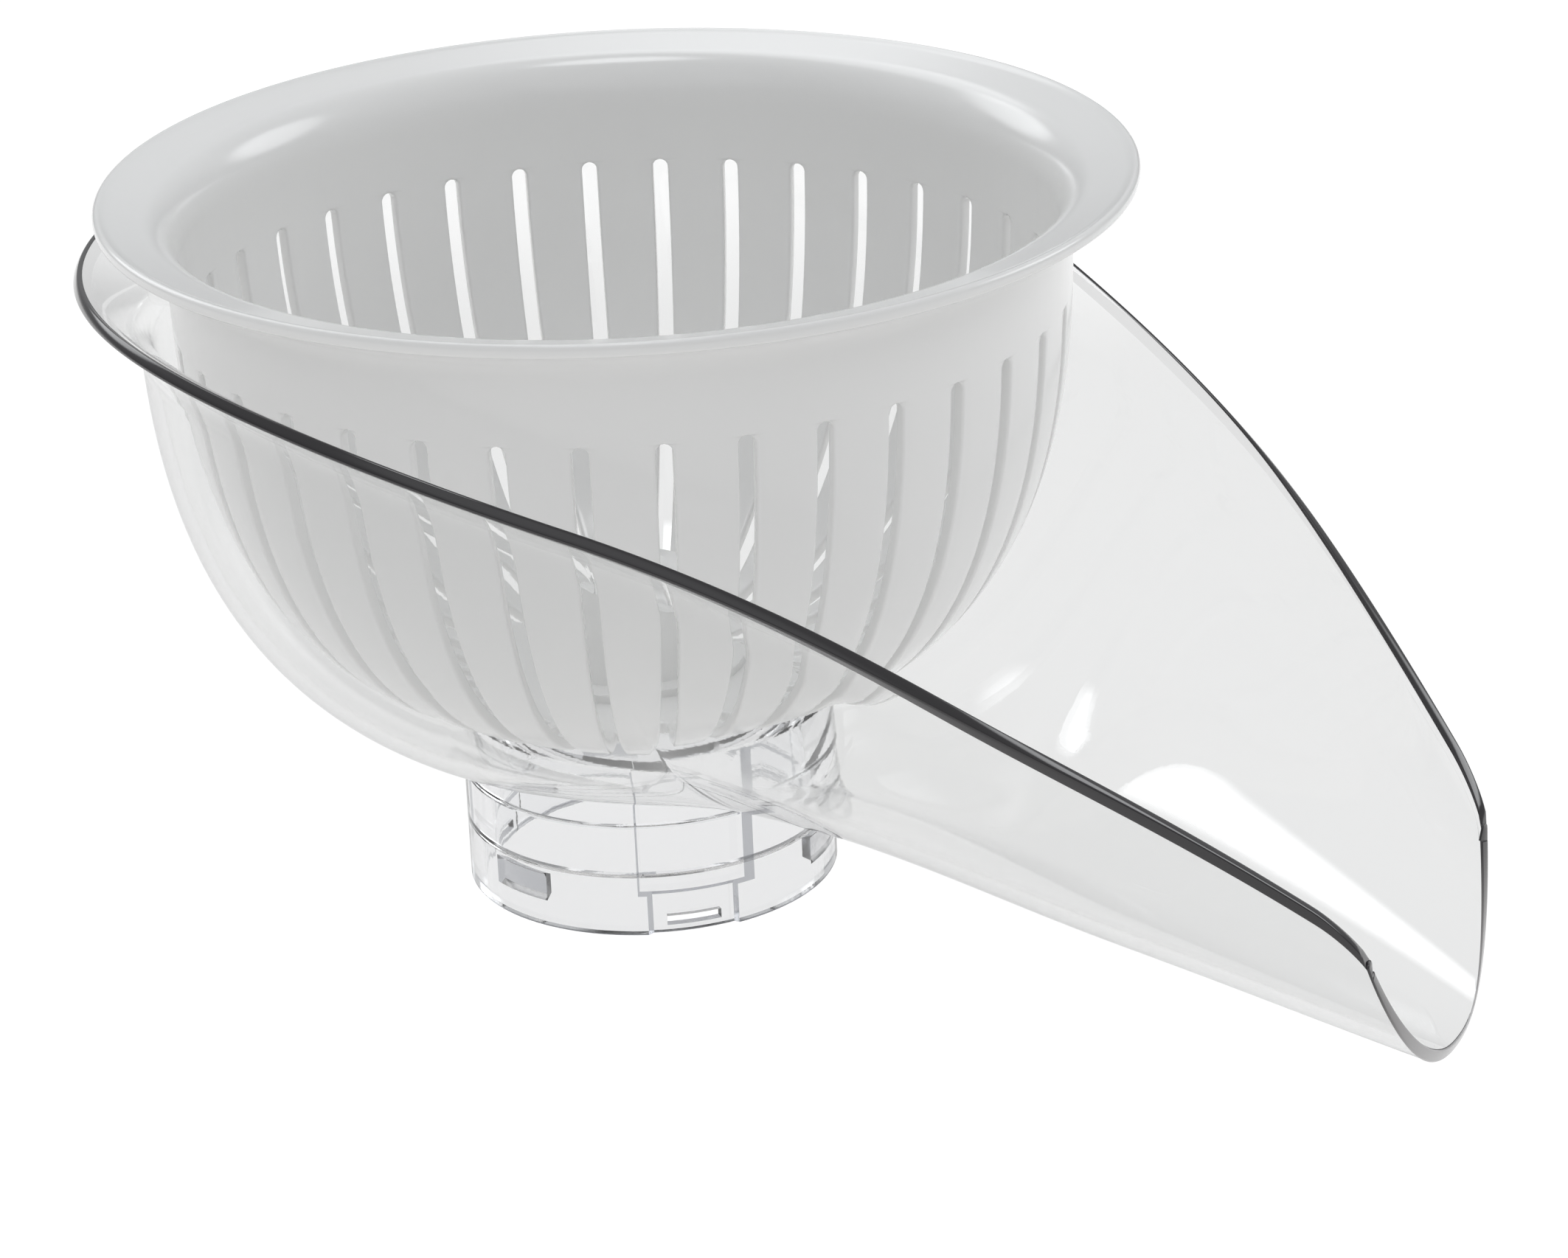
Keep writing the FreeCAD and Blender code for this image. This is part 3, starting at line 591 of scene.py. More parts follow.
    def outer_rows(self) -> np.ndarray:
        """Find the outside of one half, station by station from the back.

        Returns:
            A row of points for each station, from the bottom up to the rim.
        """
        rows = []
        wall_radius = self.rim_radius - self.flare
        for angle in np.linspace(math.pi, math.pi / 2, 61)[:-1]:
            high = self.rim_height(self.rim_radius * math.cos(angle))
            line = self.section(wall_radius, self.floor_level, high, (self.fullness,) * 2,
                                self.flare, 1.0, self.collar_radius)
            out, level = line.T
            rows.append(np.c_[out * math.cos(angle), out * math.sin(angle), level])
        reach, collar = self.spout_reach, self.collar_radius
        round_corner = reach - self.corner_run
        places = np.r_[collar * np.sin(np.linspace(0, math.pi / 2, 41)[:-1]),
                       np.linspace(collar, round_corner, 96),
                       round_corner + self.corner_run * np.sin(np.radians(self.corner_stops)),
                       reach]
        for x in places:
            high = self.rim_height(x)
            lean = self.lip_lean * ease(0.7 * reach, reach, x)
            low = self.keel_height(x + lean * (high - self.lip_level))
            flare = self.flare * (1 - ease(0.1 * reach, 0.98 * reach, x))
            keel = ease(0, collar - 0.05, x)
            mouth = ease(0.32 * reach, reach, x)
            powers = (self.fullness - 1.3 * keel + mouth, self.fullness - 0.4 * keel - mouth)
            t = max(0.0, (x - round_corner) / self.corner_run)
            share = 1 - self.corner_cut * (1 - math.sqrt(max(0.0, 1 - t * t)))
            begin = math.sqrt(max(0.0, collar ** 2 - x ** 2))
            line = self.section(self.rim_plan(x) - flare, low, high, powers, flare, share, begin)
            rows.append(np.c_[x + lean * (high - line[:, 1]), line[:, 0], line[:, 1]])
        return np.array(rows)

    def inner_rows(self, outer: np.ndarray) -> np.ndarray:
        """Move the outside in by the wall, square to the surface.

        Args:
            outer: the outside, station by station.

        Returns:
            The inside, with the same number of points.
        """
        along = np.gradient(outer, axis=0)
        up = np.gradient(outer, axis=1)
        normal = np.cross(along, up)
        normal /= np.linalg.norm(normal, axis=2, keepdims=True) + 1e-12
        middle = outer[:, self.rise_steps // 2]
        to_axis = np.array([60.0, 0.0, 120.0]) - middle
        if np.mean(np.sum(normal[:, self.rise_steps // 2] * to_axis, axis=1)) < 0:
            normal = -normal
        on_keel = outer[:, 0, 1] < 1e-6
        normal[0, :, 1] = 0
        normal[on_keel, 0, 1] = 0
        normal /= np.linalg.norm(normal, axis=2, keepdims=True) + 1e-12
        inner = outer + normal * self.wall
        start = inner[:, 0]
        radius = np.hypot(start[:, 0], start[:, 1])
        beside = outer[:, 0, 0] < self.collar_radius - 0.01
        start[beside, :2] *= (self.collar_radius / radius[beside])[:, None]
        return inner

    def loop(self) -> tuple[np.ndarray, np.ndarray]:
        """Close every station into one ring: up the outside, over the edge, down the inside.

        Returns:
            The rings, and for each step along a ring whether it wears the painted shade of the
            dark edge.
        """
        outer = self.outer_rows()
        inner = self.inner_rows(outer)
        tip = outer[:, -1] - outer[:, -2]
        tip /= np.linalg.norm(tip, axis=1, keepdims=True)
        centre = (outer[:, -1] + inner[:, -1]) / 2
        half = (outer[:, -1] - inner[:, -1]) / 2
        rings = [outer[:, :-1]]
        for k in range(self.cap_steps + 1):
            a = math.pi * k / self.cap_steps
            side = math.copysign(abs(math.cos(a)) ** 0.55, math.cos(a))
            lift = math.sin(a) ** 0.55 if 0 < k < self.cap_steps else 0.0
            rings.append((centre + half * side + tip * self.edge_round * (lift - 1))[:, None])
        rings.append(inner[:, :-1][:, ::-1])
        loops = np.concatenate(rings, axis=1)
        # Painted shade: the steps over the wall's end and the band beside it wear the near-black
        # edge material.
        dark = np.zeros(loops.shape[1], bool)
        first = outer.shape[1] - 2
        dark[first:first + self.cap_steps + 1] = True
        return loops, dark

    def build(self) -> bpy.types.Object:
        """Mesh both halves, close the mouth and give the wall's edge its painted dark shade.

        Returns:
            The clear bowl with its spout.
        """
        loops, dark = self.loop()
        loops = self.round_mouth(loops)
        stations, around = loops.shape[:2]
        mirrored = loops[::-1].copy()
        mirrored[:, :, 1] *= -1
        on_middle = np.abs(loops[:, 0, 1]) < 1e-6
        points, faces, indices = [], [], []
        for half, middle in ((loops, on_middle), (mirrored, on_middle[::-1])):
            start = len(points)
            points += list(half.reshape(-1, 3))
            for i in range(stations - 1):
                for j in range(around):
                    if j == around - 1 and middle[i] and middle[i + 1]:
                        continue
                    a = start + i * around + j
                    b = start + i * around + (j + 1) % around
                    faces.append([a, b, b + around, a + around])
                    # Painted shade: the wall's end and the last rows at the lip wear the
                    # near-black edge material.
                    last = stations - 1 - self.lip_steps
                    front = i >= last if half is loops else i < self.lip_steps
                    indices.append(int(dark[j] or front))
        mouth_faces, mouth_points = self.mouth(loops[-1], len(points))
        points += mouth_points
        faces += mouth_faces
        # The mouth's faces wear the painted shade too.
        indices += [1] * len(mouth_faces)
        return mesh_piece("clear_bowl", np.array(points) * MM, faces,
                          [self.finish, self.edge_painted_shade], indices, merge=2e-6, sharp=50)

    def round_mouth(self, loops: np.ndarray) -> np.ndarray:
        """Round the two edges of the wall where it ends at the spout's mouth.

        Args:
            loops: the rings of every station.

        Returns:
            The same rings, the last of them moved back and followed by the rounded ones.
        """
        last = loops[-1]
        ahead = np.array([1.0, 0.0, self.lip_lean]) / math.hypot(1.0, self.lip_lean)
        half = (last - last[::-1]) / 2
        middle = (last + last[::-1]) / 2
        width = np.linalg.norm(half, axis=1, keepdims=True) + 1e-9
        rounded = [last - ahead * self.lip_round]
        for k in range(1, self.lip_steps + 1):
            turn = math.pi / 2 * k / self.lip_steps
            keep = np.clip(1 - self.lip_round * (1 - math.cos(turn)) / width, 0.2, 1)
            rounded.append(middle + half * keep + ahead * self.lip_round * (math.sin(turn) - 1))
        rounded = np.array(rounded)
        rounded[:, loops[-1][:, 1] < 1e-6, 1] = 0
        return np.concatenate([loops[:-1], rounded])

    def mouth(self, ring: np.ndarray, start: int) -> tuple[list[list[int]], list[np.ndarray]]:
        """Close the wall at the spout's mouth, on both sides of the middle plane.

        Args:
            ring: the last ring of points.
            start: the number that the first new point gets.

        Returns:
            The faces and their points.
        """
        around = len(ring)
        points, faces = [], []
        for sign in (1, -1):
            base = start + len(points)
            points += [p * np.array([1, sign, 1]) for p in ring]
            for j in range(around // 2):
                a, b = base + j, base + j + 1
                c, d = base + around - 2 - j, base + around - 1 - j
                if b < c:
                    faces.append([a, b, c, d])
                elif b == c:
                    faces.append([a, b, d])
        return faces, points


# ---------------------------------------------------------------- basket


@dataclass
class Basket:
    """The white basket: one slotted wedge, turned and repeated round the axis; millimetres."""

    finish: bpy.types.Material
    slots: int = 36
    slot_width: float = 3.7
    slot_top: float = 144.0
    slot_inner: float = 42.0
    slot_turn: float = 2.2
    edge_fillet: float = 0.7
    floor_level: float = 47.0
    floor_radius: float = 26.0
    hub_hole: float = 20.0
    radius: float = 104.3
    wall: float = 3.0
    flange_radius: float = 120.0
    flange_level: float = 172.9
    flange_edge: float = 3.2
    flange_fall: float = 2.5
    edge_round: float = 1.2
    bend_height: float = 11.0
    floor_fullness: float = 2.2
    wall_fullness: float = 2.5
    toe: float = 0.0  # distances along the wall to the slot's two ends, set by rows()
    head: float = 0.0

    def wall_line(self) -> tuple[np.ndarray, np.ndarray]:
        """Find the outside of the wall, from the hub's hole up to the bend.

        Returns:
            Fine points up the wall, and the inward normal at each.
        """
        turn = np.linspace(0, math.pi / 2, 900)
        height = self.flange_level - self.flange_edge - self.bend_height - self.floor_level
        reach = self.radius - self.floor_radius
        out = self.floor_radius + reach * np.sin(turn) ** (2 / self.floor_fullness)
        rise = 1 - np.clip(np.cos(turn), 0, 1) ** (2 / self.wall_fullness)
        up = self.floor_level + height * rise
        flat = np.linspace(self.hub_hole, self.floor_radius, 8)[:-1]
        line = np.r_[np.c_[flat, np.full(7, self.floor_level)], np.c_[out, up]]
        along = np.gradient(line, axis=0)
        normal = np.c_[-along[:, 1], along[:, 0]]
        normal /= np.linalg.norm(normal, axis=1, keepdims=True)
        return line, normal

    def flange_line(self, root: np.ndarray, upper: bool) -> np.ndarray:
        """Points from the wall's top over the bend and out to the flange's edge.

        Args:
            root: the top of the wall on that side.
            upper: the basket's inner side, which becomes the flange's top.

        Returns:
            The points, the same number for both sides.
        """
        top = self.flange_level if upper else self.flange_level - self.flange_edge
        start = np.array([root[0] + (8 if upper else 7), top - self.flange_fall])
        end = np.array([self.flange_radius, top])
        bend = 12
        turn = np.linspace(0, math.pi / 2, bend + 1)[1:]
        run, lift = start[0] - root[0], start[1] - root[1]
        curve = np.c_[root[0] + run * (1 - np.cos(turn)), root[1] + lift * np.sin(turn)]
        slope = (end - start) / np.linalg.norm(end - start)
        curve[:, 1] += slope[1] * (curve[:, 0] - start[0]) * 0.6 * np.linspace(0, 1, bend)
        flat = np.linspace(0, 1, 7)[1:, None] * (end - start) + start
        return np.r_[curve, flat]

    def rows(self) -> tuple[np.ndarray, np.ndarray, np.ndarray]:
        """Matching outer and inner points up the whole profile.

        Returns:
            Outer points, inner points, and the distance along the wall of each row.
        """
        line, normal = self.wall_line()
        lengths = running_length(line)
        half = self.slot_width / 2
        toe = np.interp(self.slot_inner, line[:, 0], lengths)
        head = np.interp(self.slot_top - half, line[:, 1], lengths)
        bow = np.sin(np.linspace(0, math.pi / 2, 7))
        rim = self.edge_fillet * np.array([0.25, 0.6, 1.0, 1.5])
        head_rows = np.r_[head + half * bow[1:], head + half + rim]
        toe_rows = np.r_[toe - half - rim[::-1], toe - half * bow[1:][::-1]]
        stations = np.r_[
            np.linspace(0, toe_rows[0], 5)[:-1], toe_rows, np.linspace(toe, head, 28), head_rows,
            np.linspace(head_rows[-1], lengths[-1], 5)[1:],
        ]
        outer = along_line(stations, lengths, line)
        square = along_line(stations, lengths, normal)
        square /= np.linalg.norm(square, axis=1, keepdims=True)
        inner = outer + square * self.wall
        outer = np.r_[outer, self.flange_line(outer[-1], False)]
        inner = np.r_[inner, self.flange_line(inner[-1], True)]
        extra = len(outer) - len(stations)
        stations = np.r_[stations, lengths[-1] + 5 * np.arange(1, extra + 1)]
        self.toe, self.head = toe, head
        return outer, inner, stations

    def edge_rows(self, outer: np.ndarray, inner: np.ndarray) -> tuple[np.ndarray, np.ndarray]:
        """Round the flange's outer edge by drawing the two sides together.

        Args:
            outer: the profile's outer points.
            inner: its inner points.

        Returns:
            Both lists, with the rounded edge in place of their last point.
        """
        turn = np.linspace(0, math.pi / 2, 5)
        out = self.flange_radius - self.edge_round * (1 - np.sin(turn))
        low, high = outer[-1][1], inner[-1][1]
        draw = self.edge_round * (1 - np.cos(turn))
        outer = np.r_[outer[:-1], np.c_[out, low + draw]]
        inner = np.r_[inner[:-1], np.c_[out, high - draw]]
        return outer, inner

    def wedge(self) -> bpy.types.Object:
        """Mesh one wedge of the basket with its slot in the middle.

        Returns:
            The wedge, open at the sides where the next ones join it.
        """
        outer, inner, stations = self.rows()
        outer, inner = self.edge_rows(outer, inner)
        stations = np.r_[stations, stations[-1] + np.arange(1, len(outer) - len(stations) + 1)]
        half, fillet = self.slot_width / 2, self.edge_fillet
        half_pitch = math.pi / self.slots
        across = np.r_[1 - np.linspace(0, 1, 5)[:-1], 0.0]
        roll = np.linspace(0, math.pi / 2, 5)
        points, faces = [], []

        def gap(s: float) -> float:
            """Half the slot's width at a place on the wall.

            Args:
                s: the distance along the wall.

            Returns:
                Half the width, or zero past the slot's ends.
            """
            past = max(self.toe - s, s - self.head, 0.0)
            width = math.sqrt(max(0.0, half ** 2 - past ** 2))
            return width if width > 1e-3 else 0.0

        def sink(y: float, s: float) -> float:
            """How far the slot's rounded edge draws the surface in.

            Args:
                y: the distance from the slot's middle.
                s: the distance along the wall.

            Returns:
                The depth below the flat wall.
            """
            past = max(self.toe - s, s - self.head, 0.0)
            away = min(fillet, max(0.0, math.hypot(y, past) - half))
            return fillet - math.sqrt(max(0.0, fillet ** 2 - (fillet - away) ** 2))

        for sign in (1, -1):
            sheets = []
            for near, far in ((outer, inner), (inner, outer)):
                base = len(points)
                for (radius, level), (other_radius, other_level), s in zip(near, far, stations):
                    side = radius * math.tan(half_pitch)
                    opening = gap(s)
                    rest = opening + fillet
                    offsets = list(rest + (side - rest) * across)
                    offsets += list(opening + fillet * (1 - np.sin(roll[1:])))
                    toward = np.array([other_radius - radius, other_level - level])
                    toward /= np.linalg.norm(toward) + 1e-9
                    for y in offsets:
                        depth = sink(y, s)
                        r, z = radius + toward[0] * depth, level + toward[1] * depth
                        if y < side - 1e-9:
                            spoke = math.sqrt(max(r * r - y * y, 0))
                        else:
                            spoke, y = r * math.cos(half_pitch), r * math.sin(half_pitch)
                        points.append((spoke, sign * y, z))
                columns = len(offsets)
                faces += grid_faces(len(near), columns, base)
                sheets.append(base)
            rows = len(outer)
            for i in range(rows - 1):
                a = sheets[0] + i * columns + columns - 1
                b = sheets[1] + i * columns + columns - 1
                if gap(stations[i]) > 0 or gap(stations[i + 1]) > 0:
                    faces.append([a, a + columns, b + columns, b])
            for i in (0, rows - 1):
                for j in range(columns - 1):
                    a, b = sheets[0] + i * columns + j, sheets[1] + i * columns + j
                    faces.append([a, a + 1, b + 1, b])
        mesh = bpy.data.meshes.new("basket_wedge")
        mesh.from_pydata([tuple(MM * c for c in p) for p in points], [], faces)
        wedge = bpy.data.objects.new("basket_wedge", mesh)
        bpy.context.scene.collection.objects.link(wedge)
        return wedge

    def ring_tree(self) -> bpy.types.NodeTree:
        """Repeat a wedge round the Z axis and join the copies, in geometry nodes.

        Returns:
            The tree, with the number of copies, the first turn, the join and the finish as inputs.
        """
        tree = bpy.data.node_groups.new("repeat_round_axis", "GeometryNodeTree")
        face = tree.interface
        face.new_socket("Geometry", in_out="INPUT", socket_type="NodeSocketGeometry")
        count = face.new_socket("Count", in_out="INPUT", socket_type="NodeSocketInt")
        count.default_value = self.slots
        turn = face.new_socket("First Turn", in_out="INPUT", socket_type="NodeSocketFloat")
        turn.default_value = math.radians(self.slot_turn)
        join = face.new_socket("Join Distance", in_out="INPUT", socket_type="NodeSocketFloat")
        join.default_value = 2e-6
        face.new_socket("Finish", in_out="INPUT", socket_type="NodeSocketMaterial")
        face.new_socket("Geometry", in_out="OUTPUT", socket_type="NodeSocketGeometry")
        nodes, links = tree.nodes, tree.links
        start, end = nodes.new("NodeGroupInput"), nodes.new("NodeGroupOutput")
        spots = nodes.new("GeometryNodePoints")
        copies = nodes.new("GeometryNodeInstanceOnPoints")
        index = nodes.new("GeometryNodeInputIndex")
        pitch = nodes.new("ShaderNodeMath")
        pitch.operation = "DIVIDE"
        pitch.inputs[0].default_value = 2 * math.pi
        angle = nodes.new("ShaderNodeMath")
        angle.operation = "MULTIPLY_ADD"
        spin = nodes.new("ShaderNodeCombineXYZ")
        real = nodes.new("GeometryNodeRealizeInstances")
        merge = nodes.new("GeometryNodeMergeByDistance")
        paint = nodes.new("GeometryNodeSetMaterial")
        connect(
            links, (start, "Count", spots, "Count"), (spots, 0, copies, "Points"),
            (start, "Geometry", copies, "Instance"), (start, "Count", pitch, 1),
            (index, 0, angle, 0), (pitch, 0, angle, 1), (start, "First Turn", angle, 2),
            (angle, 0, spin, "Z"), (spin, 0, copies, "Rotation"), (copies, 0, real, 0),
            (real, 0, merge, "Geometry"), (start, "Join Distance", merge, "Distance"),
            (merge, 0, paint, "Geometry"), (start, "Finish", paint, "Material"),
            (paint, 0, end, 0),
        )
        return tree

    def build(self) -> bpy.types.Object:
        """Repeat the wedge, bake the result and give it outward faces.

        Returns:
            The white basket.
        """
        wedge = self.wedge()
        modifier = wedge.modifiers.new("ring", "NODES")
        modifier.node_group = self.ring_tree()
        wanted = {"Count": self.slots, "First Turn": math.radians(self.slot_turn),
                  "Finish": self.finish}
        for item in modifier.node_group.interface.items_tree:
            if item.in_out == "INPUT" and item.name in wanted:
                modifier[item.identifier] = wanted[item.name]
        graph = bpy.context.evaluated_depsgraph_get()
        baked = bpy.data.meshes.new_from_object(wedge.evaluated_get(graph))
        wedge.modifiers.clear()
        points = np.empty(len(baked.vertices) * 3)
        baked.vertices.foreach_get("co", points)
        faces = [list(p.vertices) for p in baked.polygons]
        bpy.data.objects.remove(wedge)
        return mesh_piece("white_basket", points.reshape(-1, 3), faces, [self.finish],
                          merge=3e-6, sharp=60)


# ---------------------------------------------------------------- foot collar


@dataclass
class FootCollar:
    """Clear collar with clip windows, lugs, deck and bearing tower; millimetres, degrees."""

    finish: bpy.types.Material
    # painted shade: grey-tinted clear material for the steps, slot walls, lugs and bottom edge
    edge_painted_shade: bpy.types.Material
    radius: float = 44.3
    bore: float = 41.0
    pilot_radius: float = 38.5
    pilot_level: float = 14.0
    ledge_radius: float = 36.5
    ledge_level: float = 26.0
    deck_level: float = 43.0
    deck_wall: float = 3.0
    tower_radius: float = 9.0
    tower_top: float = 54.0
    tower_bore: float = 6.0
    tower_foot: float = 37.0
    turn: float = -50.0
    repeats: int = 3
    window: tuple[float, float, float] = (27.5, 10.5, 1.2)
    latch: tuple[float, float, float] = (19.0, 1.2, 4.6)
    lug: tuple[float, float, float, float] = (22.0, 6.0, 12.0, 2.2)
    panel: tuple[float, float] = (34.0, 0.45)
    crisp: float = 0.8
    line: float = 0.28
    edge_step: float = 0.55

    def angles(self) -> np.ndarray:
        """Choose angles round the collar: even steps, and a pair at each side of each feature.

        Returns:
            The angles in rising order.
        """
        steps = list(np.arange(0, 360, 3.0))
        widths = (self.window[0], self.latch[0], self.lug[0], self.panel[0])
        for k in range(self.repeats):
            centre = self.turn + 360 * k / self.repeats
            lug_centre = centre + 180 / self.repeats
            for width, middle in zip(widths, (centre, centre, lug_centre, centre)):
                crisp = self.line if width == self.panel[0] else self.crisp
                for side in (-width / 2, width / 2):
                    steps += [middle + side - crisp, middle + side + crisp]
        rounded = np.unique(np.round(np.mod(steps, 360), 4))
        keep = np.r_[True, np.diff(rounded) > 0.35]
        return rounded[keep]

    def inside(self, angle: float, width: float, lug: bool = False) -> bool:
        """Tell whether an angle lies within one of the repeated features.

        Args:
            angle: the angle asked about.
            width: how wide the feature is.
            lug: whether it is a lug, which stands between the windows.

        Returns:
            True where it lies within one.
        """
        centre = self.turn + (180 / self.repeats if lug else 0)
        pitch = 360 / self.repeats
        away = abs((angle - centre + pitch / 2) % pitch - pitch / 2)
        return away < width / 2

    def outside_radius(self, angle: float, level: float) -> float:
        """Outer radius, with the clip recesses and the shallow panels over them.

        Args:
            angle: the angle round the collar.
            level: the level on it.

        Returns:
            The radius there.
        """
        if self.inside(angle, self.window[0]) and level < self.window[1]:
            return self.radius - self.window[2]
        if self.inside(angle, self.panel[0]) and level > self.window[1]:
            return self.radius - self.panel[1]
        return self.radius

    def inside_radius(self, angle: float, level: float) -> float:
        """Inner radius of the mouth, with its bayonet lugs.

        Args:
            angle: the angle round the collar.
            level: the level on it.

        Returns:
            The radius there.
        """
        if self.inside(angle, self.lug[0], True) and self.lug[1] < level < self.lug[2]:
            return self.bore - self.lug[3]
        return self.bore

    def profile(self) -> list[tuple[str, float, float]]:
        """List the rows of the closed profile.

        Returns:
            The side, radius and level of each row.
        """
        step = self.edge_step
        marks = [self.latch[1], self.latch[2], self.lug[1], self.lug[2], self.window[1]]
        levels = sorted([0.0, 0.35] + [m + s for m in marks for s in (-step, step)]
                        + [self.pilot_level - 0.3])
        under = self.deck_level - self.deck_wall
        rows = [("out", 0, z) for z in levels] + [("out", 0, 20.0), ("out", 0, 34.0)]
        rows += [("out", 0, self.deck_level - 0.6), ("plain", self.radius - 0.6, self.deck_level)]
        rows += [("plain", r, self.deck_level) for r in (30.0, 18.0, self.tower_radius + 1.2)]
        rows += [("plain", self.tower_radius + 0.3, self.deck_level + 0.4),
                 ("plain", self.tower_radius, self.deck_level + 1.4),
                 ("plain", self.tower_radius, self.tower_top - 0.3),
                 ("plain", self.tower_radius - 0.3, self.tower_top)]
        rows += [("plain", self.tower_bore, self.tower_top),
                 ("plain", self.tower_bore, self.tower_foot),
                 ("plain", self.tower_radius, self.tower_foot),
                 ("plain", self.tower_radius, under)]
        rows += [("plain", r, under) for r in (18.0, 30.0, self.ledge_radius)]
        rows += [("plain", self.ledge_radius, self.ledge_level + 0.3),
                 ("plain", self.ledge_radius + 0.3, self.ledge_level),
                 ("plain", self.pilot_radius - 0.3, self.ledge_level),
                 ("plain", self.pilot_radius, self.ledge_level - 0.4),
                 ("plain", self.pilot_radius, self.pilot_level + 0.5),
                 ("plain", self.pilot_radius + 0.5, self.pilot_level),
                 ("plain", self.bore - 0.5, self.pilot_level)]
        rows += [("in", 0, z) for z in levels[::-1]]
        return rows

    def build(self) -> bpy.types.Object:
        """Mesh the collar as one ring of rows, with the latch slots cut through.

        Returns:
            The clear collar.
        """
        angles, rows = self.angles(), self.profile()
        points = []
        for side, radius, level in rows:
            for angle in angles:
                if side == "out":
                    r = self.outside_radius(angle, level)
                elif side == "in":
                    r = self.inside_radius(angle, level)
                else:
                    r = radius
                turn = math.radians(angle)
                points.append((r * math.cos(turn), r * math.sin(turn), level))
        columns = len(angles)
        faces = []
        low, high = self.latch[1], self.latch[2]

        def open_cell(i: int, j: int) -> bool:
            """Tell whether a cell of the wall lies in a latch slot.

            Args:
                i: the cell's row.
                j: the cell's column.

            Returns:
                True where it lies in one.
            """
            side, _, level = rows[i]
            following = rows[(i + 1) % len(rows)]
            if side == "plain" or following[0] != side:
                return False
            mean = (level + following[2]) / 2
            a, b = angles[j], angles[(j + 1) % columns]
            b = b + 360 if b < a else b
            return low < mean < high and self.inside((a + b) / 2, self.latch[0])

        painted_shade_flags = []
        for i in range(len(rows)):
            side, following = rows[i][0], rows[(i + 1) % len(rows)]
            for j in range(columns):
                if open_cell(i, j):
                    continue
                a = i * columns + j
                b = i * columns + (j + 1) % columns
                c = ((i + 1) % len(rows)) * columns
                faces.append([a, b, c + (j + 1) % columns, c + j])
                radii = [math.hypot(*points[k][:2]) for k in faces[-1]]
                # Painted shade: recess and panel steps, the bottom edge and the lugs wear the
                # grey-tinted clear material.
                stepped = side == following[0] != "plain" and max(radii) - min(radii) > 0.1
                bottom = side == "out" and following[2] < 0.4
                lug = side == following[0] == "in" and max(radii) < self.bore - 0.5
                painted_shade_flags.append(int(stepped or bottom or lug))
        outer_rows = [i for i, row in enumerate(rows) if row[0] == "out"]
        inner_rows = [i for i, row in enumerate(rows) if row[0] == "in"]
        partner = {}
        for i in outer_rows:
            for k in inner_rows:
                if abs(rows[i][2] - rows[k][2]) < 1e-6:
                    partner[i] = k
        for i in outer_rows[:-1]:
            for j in range(columns):
                if not open_cell(i, j):
                    continue
                up, right = i + 1, (j + 1) % columns
                edges = []
                if not open_cell(i - 1, j):
                    edges.append(((i, j), (i, right)))
                if not open_cell(up, j):
                    edges.append(((up, j), (up, right)))
                if not open_cell(i, (j - 1) % columns):
                    edges.append(((i, j), (up, j)))
                if not open_cell(i, right):
                    edges.append(((i, right), (up, right)))
                for (ra, ca), (rb, cb) in edges:
                    faces.append([ra * columns + ca, rb * columns + cb,
                                  partner[rb] * columns + cb, partner[ra] * columns + ca])
                    # The latch slots' walls wear the painted shade as well.
                    painted_shade_flags.append(1)
        return mesh_piece("clear_foot_collar", np.array(points) * MM, faces,
                          [self.finish, self.edge_painted_shade], painted_shade_flags, sharp=28)


# ---------------------------------------------------------------- studio


